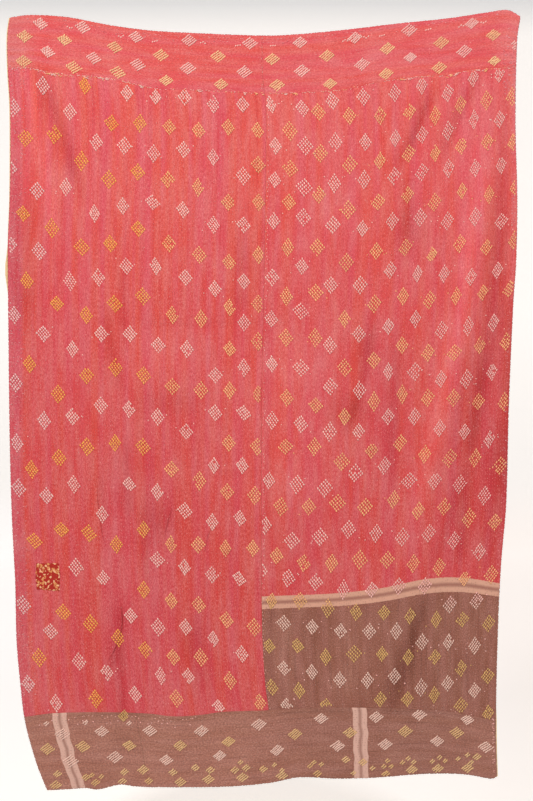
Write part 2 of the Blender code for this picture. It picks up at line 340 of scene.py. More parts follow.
class Wire:
    """A number on its way through a shader. Sums that are written on it add their Math nodes."""

    def __init__(self, socket):
        self.socket = socket

    def math(self, operation, *values):
        node = self.socket.id_data.nodes.new("ShaderNodeMath")
        node.operation = operation
        for slot, value in zip(node.inputs, values):
            feed(slot, value)
        return Wire(node.outputs[0])

    def __add__(self, other):
        return self.math("ADD", self, other)

    __radd__ = __add__

    def __sub__(self, other):
        return self.math("SUBTRACT", self, other)

    def __rsub__(self, other):
        return self.math("SUBTRACT", other, self)

    def __mul__(self, other):
        return self.math("MULTIPLY", self, other)

    __rmul__ = __mul__

    def sine(self):
        return self.math("SINE", self)

    def floor(self):
        return self.math("FLOOR", self)

    def absolute(self):
        return self.math("ABSOLUTE", self)


def feed(slot, value):
    """Give a shader's socket a wire or a plain value."""
    if isinstance(value, Wire):
        slot.id_data.links.new(value.socket, slot)
    elif isinstance(value, tuple) and slot.type == "RGBA":
        slot.default_value = (*value, 1)
    else:
        slot.default_value = value


class Finish:
    """The dye and weave of one cloth or thread."""

    def __init__(self, name, roughness, sheen=0.0):
        self.material = bpy.data.materials.new(name)
        self.material.use_nodes = True
        self.nodes = self.material.node_tree.nodes
        self.shader = self.nodes["Principled BSDF"]
        self.shader.inputs["Roughness"].default_value = roughness
        self.shader.inputs["Specular IOR Level"].default_value = 0.25
        self.shader.inputs["Sheen Weight"].default_value = sheen

    def node(self, kind, settings, inputs, output=0):
        node = self.nodes.new("ShaderNode" + kind)
        for name, value in settings.items():
            setattr(node, name, value)
        for name, value in inputs.items():
            feed(node.inputs[name], value)
        return Wire(node.outputs[output])

    def cloth_map(self):
        return self.node("UVMap", {"uv_map": "cloth"}, {})

    def own_place(self):
        return self.node("TexCoord", {}, {}, "Object")

    def part(self, place, axis):
        return self.node("SeparateXYZ", {}, {"Vector": place}, axis)

    def blots(self, place, per_metre, detail=1.0, shift=0.0):
        """Soft blots between 0 and 1, about 0.5, so many to the metre across and down a cloth, or
        as many along each axis of a thread."""
        scale = (*per_metre, 1) if isinstance(per_metre, tuple) else (per_metre,) * 3
        spread = self.node("Mapping", {}, {"Vector": place, "Location": (shift,) * 3, "Scale": scale})
        return self.node("TexNoise", {}, {"Vector": spread, "Scale": 1.0, "Detail": detail})

    def step(self, value, low, high):
        """0 up to the low value and 1 from the high one, with a soft rise between them."""
        return self.node("MapRange", {"interpolation_type": "SMOOTHSTEP"},
                         {"Value": value, "From Min": low, "From Max": high})

    def mix(self, share, first, second):
        return self.node("Mix", {"data_type": "RGBA"}, {0: share, 6: first, 7: second}, 2)

    def shade(self, colour, strength):
        """A colour made lighter or darker."""
        return self.node("VectorMath", {"operation": "SCALE"}, {"Vector": colour, "Scale": strength})

    def mottling(self, place, grain):
        """Above 0 in more worn patches, wide ones and ones that follow the threads."""
        wide = self.blots(place, (9, 6), detail=2, shift=61)
        small = self.blots(place, grain, detail=2, shift=71)
        return (wide - 0.5) * 0.6 + (small - 0.5)

    def in_painted_fold_shade(self, colour, strength):
        """A colour made lighter or darker, with painted shade that makes it darker and deeper in the
        folds and a painted highlight that makes it paler on the ridges.
        """
        fold_shade = self.node("Attribute", {"attribute_name": "soil"}, {}, "Fac")
        deeper = self.node("Gamma", {}, {"Color": colour, "Gamma": 1 + fold_shade * 0.55})
        return self.shade(deeper, strength - fold_shade * 0.6)

    def paint(self, colour):
        feed(self.shader.inputs["Base Color"], colour)

    def emboss(self, height, distance):
        """Raise the surface by a height in metres times the distance."""
        bump = self.node("Bump", {}, {"Height": height, "Distance": distance, "Strength": 1.0})
        feed(self.shader.inputs["Normal"], bump)


def weave_height(finish, place):
    """The fine, uneven threads of the cloth, from 0 to 1."""
    threads = finish.blots(place, (900, 60)) + finish.blots(place, (60, 900), shift=3)
    return threads * 0.5


def woven(finish, place, colour):
    """The finished material of a cloth of the front."""
    finish.paint(colour)
    finish.emboss(weave_height(finish, place), WEAVE_RELIEF)
    return finish.material


WEAVE_RELIEF = 0.3 * MM
FINE_RELIEF = 0.2 * MM              # of the patch's weave and of the twist of a thread
YELLOW_COTTON = (0.84, 0.56, 0.25)
FADED_YELLOW = (0.86, 0.64, 0.38)
STITCH_ROW = 6.5                    # the rows of running stitches lie this far apart
STITCH_PERIOD = 9                   # and a stitch starts every so far along a row


def yellow_finish():
    """Plain yellow cotton, faded in blots, with the running stitches that come through it."""
    finish = Finish("yellow_cotton", 0.92, 0.15)
    place = finish.cloth_map()
    fading = finish.step(finish.blots(place, (5, 4), detail=3), 0.35, 0.7)
    colour = finish.mix(fading, YELLOW_COTTON, FADED_YELLOW)
    threads = finish.blots(place, (500, 14), shift=7)
    wander = (finish.blots(place, (8, 12), shift=11) - 0.5) * 3
    across, down = finish.part(place, "X"), finish.part(place, "Y")
    rows = across * (1 / STITCH_ROW / MM) + wander * (1 / math.tau)
    row = (rows * math.tau).sine()
    gap = (down * (math.tau / STITCH_PERIOD / MM) + rows.floor() * 2.4).sine()
    stitch = finish.step(row, 0.55, 0.95) * finish.step(gap, -0.1, 0.4)
    colour = finish.mix(stitch * 0.35, colour, (0.90, 0.72, 0.50))
    finish.paint(finish.shade(colour, threads * 0.16 + 0.92))
    finish.emboss(weave_height(finish, place) * 0.25 + row * -0.12 + stitch * 0.9, 0.6 * MM)
    return finish.material


def let_it_show(sheet):
    """Belly the backing out past the left edge, and let it peep past both side edges."""
    points = points_of(sheet)
    x, drop = points[:, 0] / MM, -points[:, 2] / MM
    near = np.clip(1 - (x - smooth_through(LEFT_EDGE, drop)) / SHOWING_REACH, 0, 1)
    bulge = near * eased(1 - abs(drop - BACKING_BULGE_DROP) / BACKING_BULGE_HALF_HEIGHT)
    points[:, 0] -= BACKING_BULGE_OUT * MM * bulge
    points[:, 1] += BACKING_BULGE_BACK * MM * bulge
    points[:, 0] -= BACKING_PEEP * MM * near * (1 - eased((drop - LEFT_PEEP_END) / LEFT_PEEP_FADE))
    near = np.clip(1 - (smooth_through(RIGHT_EDGE, drop) - x) / SHOWING_REACH, 0, 1)
    points[:, 0] += BACKING_PEEP * MM * near * eased((drop - RIGHT_PEEP_START) / RIGHT_PEEP_FADE)
    set_points(sheet, points)


backing = add_sheet("backing_cloth", WHOLE, (0, 3), BACKING_STEP, LAYER_GAP / 2)
let_it_show(backing)
backing.data.materials.append(yellow_finish())
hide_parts("backing")
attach(backing, "root")

# --------------------------------------
# Top band: two lengths of the rose cotton, turned sideways, so its streaks run across. They are
# joined at a short upright seam in the middle and sewn along the top of the panels.

FRONT_FACE = -LAYER_GAP / 2 - CLOTH_THICKNESS
ORANGE_ROSE = (0.765, 0.088, 0.056)
PINK_ROSE = (0.725, 0.084, 0.122)
DEEP_ROSE = (0.62, 0.036, 0.040)
WASHED_ROSE = (0.80, 0.17, 0.155)
WORN_ROSE = (0.95, 0.74, 0.70)
FULL_ROSE = (0.49, 0.018, 0.022)
SELVAGE_ROSE = (0.66, 0.105, 0.165)
CREASE_SHADE_ROSE = (0.30, 0.018, 0.022)


# How many streaks, single threads, grains and flecks a cloth has to the metre, across and down.
Weave = namedtuple("Weave", "streaks threads grain flecks")


def rose_colour(finish, place, weave, contrast, border=0, faded=0):
    """Rose cotton whose dye runs from orange to pink in streaks, with single darker threads and
    flecks worn pale. It is less faded low on the quilt, and pinker on its border."""
    pink = finish.step(finish.blots(place, weave.streaks, detail=4), 0.36, 0.64)
    colour = finish.mix(pink * contrast + (1 - contrast) * 0.5, ORANGE_ROSE, PINK_ROSE)
    washed = finish.step(finish.blots(place, (14, 4), detail=3, shift=21), 0.45, 0.75)
    colour = finish.mix(washed * 0.3, colour, WASHED_ROSE)
    colour = finish.mix(border, colour, SELVAGE_ROSE)
    low = finish.step(finish.part(place, "Y"), 0.1, 1.4)
    colour = finish.mix(low * 0.38, colour, FULL_ROSE)
    dark = finish.step(finish.blots(place, weave.threads, detail=2, shift=33), 0.46, 0.72)
    colour = finish.mix(dark * 0.64 * contrast, colour, DEEP_ROSE)
    flecks = finish.blots(place, weave.flecks, detail=2, shift=41)
    specks = finish.blots(place, (420, 400), detail=1, shift=51)
    worn = (flecks - 0.5) * 0.27 + (specks - 0.5) * 0.2 + finish.mottling(place, weave.grain) * 0.27
    colour = finish.mix(worn + faded + 0.050, colour, WORN_ROSE)
    # painted shade in the folds and painted highlight on the ridges, from the value on each point
    return finish.in_painted_fold_shade(colour, flecks * 0.44 + specks * 0.48 + 0.54)


def band_rose_finish():
    finish = Finish("rose_band_cotton", 0.9, 0.2)
    place = finish.cloth_map()
    weave = Weave((1.5, 40), (6, 260), (12, 60), (170, 290))
    across = finish.part(place, "X") * (1 / PANEL_WIDTH)
    left_end, right_end = finish.step(across, 0.14, 0), finish.step(across, 1.88, 2)
    colour = rose_colour(finish, place, weave, 0.5, faded=left_end * 0.1 + right_end * 0.07)
    return woven(finish, place, finish.shade(colour, 1 - left_end * 0.08))


rose_band_cotton = band_rose_finish()
top_bands = [
    add_sheet("top_band_cloth_left", LEFT, TOP_BAND_DOWN, CLOTH_STEP, FRONT_FACE),
    add_sheet("top_band_cloth_right", RIGHT, TOP_BAND_DOWN, CLOTH_STEP, FRONT_FACE),
]
for band, node in zip(top_bands, ("top_band_left", "top_band_right")):
    band.data.materials.append(rose_band_cotton)
    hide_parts(node)
    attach(band, "root")

# --------------------------------------
# Left panel: one long width of the rose cotton, its streaks running down. It hangs from the top
# band's seam and is the most strongly streaked cloth of the quilt.


SELVAGE = (0.038, 0.055)            # where its pinker left border ends, across it
SHARP_CREASES = (                   # the sharpest creases, too thin for the cloth's own cells, painted as dark lines of shade
    Fold(1175, 1365, -446, -441, -423, 2.8, 0, 0.45),
    Fold(1498, 1675, -388, -384, -425, 3.6, 0, 0.85),
    Fold(1248, 1340, -244, -258, -270, 3.4, 0, 0.50),
    Fold(1295, 1378, -137, -152, -160, 3.0, 0, 0.42),
)


def on_crease(finish, crease):
    """1 on a sharp crease and 0 beside it and past its ends, by the place on the finished cloth."""
    place = finish.own_place()
    along = (finish.part(place, "Z") * (-1 / MM) - crease.top) * (1 / (crease.bottom - crease.top))
    bend = 2 * crease.x_top - 4 * crease.x_middle + 2 * crease.x_bottom
    lean = crease.x_bottom - crease.x_top - bend
    wander = (finish.blots(place, 30, detail=1, shift=37) - 0.5) * 4
    middle = along * along * bend + along * lean + crease.x_top + wander
    off_middle = (finish.part(place, "X") * (1 / MM) - middle).absolute()
    inside = finish.step((along - 0.5).absolute(), 0.5, 0.2)
    return finish.step(off_middle, crease.half_width, 0.3) * inside * crease.soil


def left_rose_finish():
    finish = Finish("rose_streaked_cotton", 0.9, 0.2)
    place = finish.cloth_map()
    weave = Weave((34, 1.0), (150, 2.2), (60, 10), (310, 130))
    border = 1 - finish.step(finish.part(place, "X") * (1 / PANEL_WIDTH), *SELVAGE)
    colour = rose_colour(finish, place, weave, 0.75, border * 0.55)
    # painted shade: dark lines along the sharpest creases
    for crease in SHARP_CREASES:
        colour = finish.mix(on_crease(finish, crease), colour, CREASE_SHADE_ROSE)
    return woven(finish, place, colour)


left_panel = add_sheet("left_panel_cloth", LEFT, PANELS_DOWN, CLOTH_STEP, FRONT_FACE)
left_panel.data.materials.append(left_rose_finish())
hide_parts("left_panel")
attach(left_panel, "root")

# --------------------------------------
# Right panel: another width of the cotton, rose for most of its length, then crossed by a woven
# tan stripe and brown below it. It is sewn to the left panel at the centre seam.

STRIPE_TOP = ((-8, 1491), (173, 1484), (311, 1468), (426, 1445), (519, 1441), (625, 1456))
STRIPE_BOTTOM = ((-8, 1525), (192, 1517), (311, 1504), (426, 1484), (519, 1480), (625, 1492))
TAN = (0.71, 0.375, 0.265)
STRIPE_BROWN = (0.44, 0.20, 0.145)
BROWN = (0.305, 0.107, 0.068)
PINK_BROWN = (0.35, 0.130, 0.094)
DARK_BROWN = (0.18, 0.060, 0.042)
WORN_BROWN = (0.80, 0.60, 0.52)


def brown_colour(finish, place, weave, plain, pink, contrast):
    """Brown cotton that shades to pink in streaks."""
    streaks = finish.step(finish.blots(place, weave.streaks, detail=4, shift=5), 0.38, 0.64)
    colour = finish.mix(streaks, plain, pink)
    dark = finish.step(finish.blots(place, weave.threads, detail=1, shift=13), 0.54, 0.72)
    colour = finish.mix(dark * 0.36, colour, DARK_BROWN)
    flecks = finish.blots(place, weave.flecks, detail=2, shift=17)
    patches = finish.mottling(place, weave.grain)
    colour = finish.mix((flecks - 0.5) * 0.23 + patches * 0.15 + 0.02, colour, WORN_BROWN)
    # painted shade in the folds and painted highlight on the ridges, from the value on each point
    return finish.in_painted_fold_shade(colour, (flecks - 0.5) * contrast + patches * 0.28 + 0.99)


def stripe_colour(finish, past_edge, tan, shaded, middle):
    """A tan stripe with darker threads in its middle, by the share of its width from one edge."""
    off_middle = (past_edge - 0.5).absolute()
    colour = finish.mix(finish.step(off_middle, middle, middle + 0.2), shaded, tan)
    line = 1 - finish.step(off_middle, 0.02, 0.07)
    return finish.mix(line * 0.25, colour, BROWN)


def right_panel_finish():
    finish = Finish("rose_to_brown_cotton", 0.9, 0.2)
    place = finish.cloth_map()
    weave = Weave((30, 1.3), (170, 2.5), (60, 12), (310, 135))
    right_edge = finish.step(finish.part(place, "X") * (1 / PANEL_WIDTH), 1.93, 2)
    upper = finish.step(finish.part(place, "Y"), 0.8, 0.3)
    rose = rose_colour(finish, place, weave, 0.6, faded=right_edge * upper * 0.06)
    weave = Weave((40, 2.5), (190, 5), (60, 14), (400, 280))
    brown = brown_colour(finish, place, weave, BROWN, PINK_BROWN, 1.7)
    past_edge = finish.node("Attribute", {"attribute_name": "past_stripe_edge"}, {}, "Fac")
    ragged = (finish.blots(place, (300, 40), detail=0, shift=8) - 0.5) * 0.06
    past_edge = past_edge + ragged
    colour = finish.mix(finish.step(past_edge, -0.02, 0.03), rose,
                        stripe_colour(finish, past_edge, TAN, STRIPE_BROWN, 0.04))
    return woven(finish, place, finish.mix(finish.step(past_edge, 0.97, 1.02), colour, brown))


def past_stripe_edge(x, drop):
    """0 at the tan stripe's upper edge and 1 at its lower edge."""
    top, bottom = smooth_through(STRIPE_TOP, x), smooth_through(STRIPE_BOTTOM, x)
    return (drop - top) / (bottom - top)


right_panel = add_sheet("right_panel_cloth", RIGHT, PANELS_DOWN, CLOTH_STEP, FRONT_FACE)
points = points_of(right_panel)
add_point_value(right_panel, "past_stripe_edge",
                past_stripe_edge(points[:, 0] / MM, -points[:, 2] / MM))
right_panel.data.materials.append(right_panel_finish())
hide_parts("right_panel")
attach(right_panel, "root")

# --------------------------------------
# Bottom band: brown cotton turned sideways, a short length and a long one joined at a faint upright
# seam. Two tan stripes of its weave now stand upright in it. Its lower edge is the quilt's hem.

SHORT_SEAM = 11 / 24                # where the short length ends, across the left half
LEFT_STRIPE = (0.116, 0.174)        # the stripes' edges, across the quilt
RIGHT_STRIPE = (1.369, 1.431)
BAND_BROWN = (0.41, 0.165, 0.112)
BAND_PINK = (0.44, 0.184, 0.135)
BAND_TAN = (0.73, 0.44, 0.35)
BAND_STRIPE_BROWN = (0.48, 0.26, 0.205)
BOTTOM_BAND_TOP = TOP_BAND_HEIGHT + PANEL_HEIGHT


def brown_band_finish():
    finish = Finish("brown_band_cotton", 0.9, 0.2)
    place = finish.cloth_map()
    weave = Weave((2, 40), (6, 260), (14, 60), (210, 300))
    colour = brown_colour(finish, place, weave, BAND_BROWN, BAND_PINK, 1.25)
    across = finish.part(place, "X") * (1 / PANEL_WIDTH)
    under_seam = 1 - finish.step(finish.part(place, "Y") - BOTTOM_BAND_TOP, 0.005, 0.024)
    colour = finish.shade(colour, 1 - finish.step(across, 0.9, 1.3) * 0.15 - under_seam * 0.09
                          + finish.step(across, 1.6, 2) * 0.06)
    across = across + (finish.blots(place, (1, 22), detail=1, shift=9) - 0.5) * 0.02
    for left, right in (LEFT_STRIPE, RIGHT_STRIPE):
        past_edge = (across - left) * (1 / (right - left))
        inside = finish.step(past_edge, -0.03, 0.03) * (1 - finish.step(past_edge, 0.97, 1.03))
        stripe = stripe_colour(finish, past_edge, BAND_TAN, BAND_STRIPE_BROWN, 0.02)
        colour = finish.mix(inside, colour, stripe)
    return woven(finish, place, colour)


brown_band_cotton = brown_band_finish()
bottom_bands = [
    add_sheet("bottom_band_cloth_left", (0, SHORT_SEAM), BOTTOM_BAND_DOWN, CLOTH_STEP, FRONT_FACE),
    add_sheet("bottom_band_cloth_right", (SHORT_SEAM, 2), BOTTOM_BAND_DOWN, CLOTH_STEP, FRONT_FACE),
]
for band, node, width in zip(bottom_bands, ("bottom_band_left", "bottom_band_right"),
                             (SHORT_SEAM, 2 - SHORT_SEAM)):
    band.data.materials.append(brown_band_cotton)
    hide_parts(node)
    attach(band, "root")
    width * PANEL_WIDTH

# --------------------------------------
# Patch: a small mend of dark red cotton with a gold leafy print, cut by eye and sewn by hand over
# the left panel.

PATCH_X = -577
PATCH_DROP = 1438
PATCH_WIDTH = 63
PATCH_HEIGHT = 71
PATCH_SKEW = 2
PATCH_THICKNESS = 0.9 * MM
PATCH_ROUNDING = 0.3 * MM
PATCH_CELLS = 16
PATCH_FRAY = 0.8                    # how far its cut edges wander in and out
PATCH_RED = (0.44, 0.022, 0.013)
PATCH_GOLD = (0.75, 0.30, 0.105)
PATCH_CREAM = (0.90, 0.48, 0.25)


def printed_finish():
    """Dark red cotton with a generic print of gold leaves and cream dots."""
    finish = Finish("printed_cotton", 0.85, 0.1)
    place = finish.own_place()
    leaves = finish.step(finish.blots(place, 95, detail=2, shift=2.4), 0.53, 0.58)
    veins = finish.step(finish.blots(place, 260, detail=0, shift=6), 0.53, 0.58)
    cream = finish.step(finish.blots(place, 140, detail=0, shift=9), 0.62, 0.66)
    colour = finish.mix(leaves, PATCH_RED, PATCH_GOLD)
    colour = finish.mix(leaves * veins * 0.8, colour, PATCH_RED)
    colour = finish.mix(cream, colour, PATCH_CREAM)
    flecks = finish.blots(place, 400, detail=1, shift=13)
    finish.paint(finish.shade(colour, flecks * 0.5 + 0.75))
    finish.emboss(finish.blots(place, 1100), FINE_RELIEF)
    return finish.material


def add_patch():
    patch = add_grid("patch_cloth", PATCH_CELLS, PATCH_CELLS)
    points = points_of(patch)
    across, down = points[:, 0], -points[:, 1]
    x = PATCH_X + PATCH_WIDTH * across + PATCH_SKEW * (down + across * np.cos(7 * down))
    drop = PATCH_DROP + PATCH_HEIGHT * down + PATCH_SKEW * (across + down * np.sin(5 * across))
    x += PATCH_FRAY * (2 * across) ** 7 * np.sin(31 * down)
    drop += PATCH_FRAY * (2 * down) ** 7 * np.sin(27 * across + 1)
    y = cloth_depth(x, drop) * MM + FRONT_FACE - LAYER_GAP - PATCH_THICKNESS
    set_points(patch, np.stack([x * MM, y, -drop * MM], 1))
    thicken(patch, PATCH_THICKNESS, PATCH_ROUNDING, 1)
    return patch


patch = add_patch()
patch.data.materials.append(printed_finish())
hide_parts("patch")
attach(patch, "root")

# --------------------------------------
# Woven diamonds of the panels: extra threads, white and yellow, float over the cloth in 25 short
# dashes that make a diamond. They stand in upright columns, white and yellow in turn, unevenly.

DASH_SUNK = 0.35                    # its lower part lies in the cloth
MISSING_DASHES = 0.015              # the share of them that has worn away
CHART_ROUNDING = 3                  # the charts below give places a little too high
DASHES_ALONG_EDGE = 5               # of a diamond
COLUMN_STEP = 4.5                   # from one upright line of its dashes to the next
DASH_STEP = 10.6                    # from one dash to the next in a line
LATTICE_SHARE = 2 / 8.5             # the guide lines are those of columns 0, 4.25 and 8.5


def guide_lines(drops, *lines):
    """Lines that run down, all by their x at the same drops."""
    return [tuple(zip(drops, line)) for line in lines]


LEFT_GUIDES = guide_lines((150, 450, 750, 1050, 1350, 1600, 1800),
                          (-665, -681, -666, -661, -648, -639, -622),
                          (-348, -359, -341, -343, -341, -338, -325),
                          (-21, -17, -18, -19, -32, -27, -12))
RIGHT_GUIDES = guide_lines((110, 250, 450, 750, 1050, 1350, 1600, 1800),
                           (-2, 26, 24, 17, 18, -3, -27, -11),
                           (365, 367, 360, 348, 345, 311, 295, 287),
                           (656, 658, 667, 644, 632, 607, 594, 594))

# The height of each diamond in its column, in centimetres of drop, column by column.
LEFT_WHITE = (
    (19, 35, 55, 74, 92, 108, 120, 151, 172),
    (13, 41, 57, 79, 102, 122, 158, 177),
    (20, 40, 65, 83, 101, 119, 141, 166),
    (28, 47, 64, 79, 98, 127, 144, 169),
    (15, 29, 45, 61, 79, 99, 119, 154, 175),
    (16, 31, 44, 61, 82, 101, 121, 139, 157, 170),
    (16, 30, 46, 64, 83, 105, 126, 141, 157, 170),
    (18, 32, 50, 67, 90, 100, 114, 129, 143, 160, 178),
    (18, 37, 50, 65, 76, 88, 100, 114, 128, 144, 164),
)
LEFT_YELLOW = (
    (27, 47, 65, 87, 115, 134, 165),
    (26, 51, 71, 95, 112, 131, 153),
    (13, 33, 56, 74, 90, 109, 132, 156, 176),
    (23, 38, 55, 71, 88, 108, 135, 160),
    (23, 36, 51, 69, 90, 109, 131, 147, 163),
    (24, 38, 55, 74, 93, 115, 135, 150, 165, 176),
    (25, 40, 58, 75, 94, 118, 135, 151, 165),
    (24, 44, 60, 72, 83, 94, 108, 121, 136, 155, 171),
    (25, 34, 44, 58, 71, 81, 95, 109, 122, 136, 157, 177),
)
RIGHT_WHITE = (
    (18, 29, 38, 49, 64, 75, 87, 102, 118, 130, 142),
    (19, 29, 40, 48, 61, 73, 88, 103, 119, 134, 144, 156, 168, 178),
    (17, 28, 39, 50, 66, 82, 93, 105, 120, 133, 145, 157, 169, 180),
    (16, 28, 38, 51, 66, 79, 94, 105, 116, 131, 147, 158, 171),
    (15, 27, 37, 49, 62, 77, 89, 101, 114, 132, 147, 158, 171),
    (13, 26, 36, 48, 63, 75, 89, 101, 118, 133, 146, 158, 170),
    (15, 25, 35, 49, 63, 78, 91, 104, 118, 132, 146, 161, 173),
    (11, 22, 35, 48, 64, 77, 91, 105, 119, 134, 151, 161, 172),
    (10, 22, 34, 49, 62, 76, 89, 107, 122, 137, 150, 162, 174),
)
RIGHT_YELLOW = (
    (25, 35, 44, 56, 69, 80, 96, 109, 125, 138, 150, 162, 173),
    (20, 31, 42, 56, 68, 80, 98, 109, 125, 140, 150, 162, 174),
    (21, 34, 46, 60, 75, 88, 101, 113, 124, 140, 152, 165, 178),
    (21, 33, 44, 57, 71, 86, 97, 110, 125, 139, 153, 164),
    (20, 31, 42, 56, 69, 82, 95, 108, 123, 139, 153, 164, 176),
    (21, 31, 44, 58, 70, 84, 96, 111, 126, 140, 154, 165, 176),
    (18, 29, 41, 55, 69, 84, 96, 112, 125, 141, 155, 165, 175),
    (17, 28, 42, 56, 68, 82, 97, 112, 128, 144, 155, 168, 178),
    (16, 28, 40, 54, 67, 81, 97, 114, 129, 143, 156, 170, 180),
)


rng = np.random.default_rng(7)


def add_bead_of_thread(name, width, length, rise, taper):
    """One short length of thread as it lies on the cloth: a low bar, narrower on its outer side.
    Its length is along Z and its back, at y = 0, lies in the cloth."""
    deselect()
    bpy.ops.mesh.primitive_cube_add(size=1, location=(0, -rise * MM / 2, 0),
                                    scale=(width * MM, rise * MM, length * MM))
    bar = bpy.context.object
    bar.name = bar.data.name = name
    bpy.ops.object.transform_apply(location=True, rotation=True, scale=True)
    for face in bar.data.polygons:
        face.select = face.normal.y < -0.5
    bpy.ops.object.mode_set(mode="EDIT")
    bpy.ops.transform.resize(value=(taper[0], 1, taper[1]))
    bpy.ops.mesh.select_all(action="SELECT")
    bpy.ops.mesh.quads_convert_to_tris()
    bpy.ops.object.mode_set(mode="OBJECT")
    return bar


# The finish of a thread, and the slot of the record that it belongs to.
Thread = namedtuple("Thread", "material slot")


def sew(name, bead, thread, x, drop, turn, sunk, stretch=1.0, widen=1.0):
    """Copies of one modelled bead of thread, laid over the front at each x and drop and turned
    there, a positive turn leaning its top to the right. All of them make one mesh."""
    shape = points_of(bead) / MM
    faces = np.array([face.vertices for face in bead.data.polygons])
    x, drop, turn, stretch, widen = (
        np.broadcast_to(value, np.shape(x))[:, None] for value in (x, drop, turn, stretch, widen))
    side, along = shape[:, 0] * widen, shape[:, 2] * stretch
    x = x + side * np.cos(turn) + along * np.sin(turn)
    drop = drop + side * np.sin(turn) - along * np.cos(turn)
    y = cloth_depth(x, drop) + FRONT_FACE / MM + shape[:, 1] + sunk
    points = np.stack([x, y, -drop], 2).reshape(-1, 3) * MM
    faces = (faces + len(shape) * np.arange(len(x))[:, None, None]).reshape(-1, 3)
    mesh = bpy.data.meshes.new(name)
    mesh.from_pydata(points.tolist(), [], faces.tolist())
    mesh.shade_smooth()
    mesh.materials.append(thread.material)
    piece = bpy.data.objects.new(name, mesh)
    bpy.context.scene.collection.objects.link(piece)
    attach(piece, "root")


def discard(piece):
    bpy.data.objects.remove(piece, do_unlink=True)


def diamonds_in_columns(guides, heights, shift):
    """The x, drop and lean of each diamond in a chart of columns."""
    number = np.concatenate([np.full(len(column), place) for place, column in enumerate(heights)])
    drop = np.concatenate([np.array(column, float) for column in heights]) * 10
    drop = drop + CHART_ROUNDING
    position = (number + shift) * LATTICE_SHARE
    x = between(guides, position, drop)
    lean = (between(guides, position, drop - 40) - between(guides, position, drop + 40)) / 80
    return x, drop, lean


def lozenge(count):
    """The dashes of a diamond with so many along each of its edges: the line that each is in and
    its place in that line, both counted from the middle."""
    lines = [(number, count - abs(number)) for number in range(1 - count, count)]
    return (np.concatenate([np.full(dashes, number) for number, dashes in lines]),
            np.concatenate([np.arange(dashes) - (dashes - 1) / 2 for _, dashes in lines]))


def dashes_of_diamonds(x, drop, lean, tilt, width, height, slant):
    """The x, drop and turn of every dash of some diamonds. Tilt is how far their rows rise to the
    right, and slant how far their dashes lean to the right."""
    column, row = lozenge(DASHES_ALONG_EDGE)
    side = column * COLUMN_STEP * width[:, None]
    fall = row * DASH_STEP * height[:, None]
    dash_x = x[:, None] + side - fall * lean[:, None]
    dash_drop = drop[:, None] + fall - side * tilt[:, None]
    turn = lean[:, None] + slant[:, None] + rng.normal(0, 0.06, side.shape)
    dash_x = dash_x + rng.normal(0, 0.3, side.shape)
    dash_drop = dash_drop + rng.normal(0, 0.4, side.shape)
    kept = rng.uniform(size=side.shape) > MISSING_DASHES
    return dash_x[kept], dash_drop[kept], turn[kept]


def on_cloth(x, drop, across, down, margin=3):
    """Which places lie on a cloth, a margin in mm inside its edges."""
    left = between(UPRIGHTS, across[0], drop) + margin
    right = between(UPRIGHTS, across[1], drop) - margin
    top = between(LEVELS, down[0], x) + margin
    bottom = between(LEVELS, down[1], x) - margin
    return (x > left) & (x < right) & (drop > top) & (drop < bottom)


# How large the diamonds are at some places across, as shares of the chart's size, and how far their
# dashes lean to the right. Those at the upper right are narrower, and to the right the rows rise.
PANEL_WIDTHS = ((-500, -380, -40, 60, 480), (0.94, 0.88, 0.86, 0.97, 0.94))
PANEL_HEIGHTS = ((-500, -380, -40, 60, 480), (1.0, 0.95, 0.93, 1.0, 1.02))
PANEL_SLANTS = ((150, 300, 480), (-0.40, 0.05, 0.36))
SMALLER_ON_BROWN = 0.1
NARROWER_AT_UPPER_RIGHT = 0.18
LEFT_TILT, RIGHT_TILT, UPPER_RIGHT_TILT = -0.13, 0.32, 0.16
THINNER_AT_RIGHT = 0.16
UNEVEN, UNEVEN_HEIGHT = 0.08, 0.06


def on_brown(x, drop):
    """Whether a place is on the brown end of the right panel."""
    return (x > 0) & (past_stripe_edge(x, drop) > 0)


def panel_diamonds(name, thread, guides, heights, shift, across):
    """One colour of diamonds on one panel."""
    x, drop, lean = diamonds_in_columns(guides, heights, shift)
    to_right = eased((x - 60) / 420)
    upper = 1 - eased((drop - 700) / 700)
    count = len(x)
    size = 1 - SMALLER_ON_BROWN * on_brown(x, drop)
    narrower = NARROWER_AT_UPPER_RIGHT * to_right * upper
    width = size * np.interp(x, *PANEL_WIDTHS) - narrower + rng.normal(0, UNEVEN, count)
    height = size * np.interp(x, *PANEL_HEIGHTS) + rng.normal(0, UNEVEN_HEIGHT, count)
    tilt = LEFT_TILT + to_right * (RIGHT_TILT + UPPER_RIGHT_TILT * upper)
    tilt = tilt + rng.normal(0, UNEVEN, count)
    slant = np.interp(x, *PANEL_SLANTS) + rng.normal(0, UNEVEN, count)
    dash_x, dash_drop, turn = dashes_of_diamonds(x, drop, lean, tilt, width, height, slant)
    kept = on_cloth(dash_x, dash_drop, across, PANELS_DOWN)
    thinner = 1 - THINNER_AT_RIGHT * eased((dash_x[kept] - 200) / 250)
    sew(name, dash, thread, dash_x[kept], dash_drop[kept], turn[kept], DASH_SUNK,
        rng.uniform(0.85, 1.15, kept.sum()), rng.uniform(0.8, 1.1, kept.sum()) * thinner)


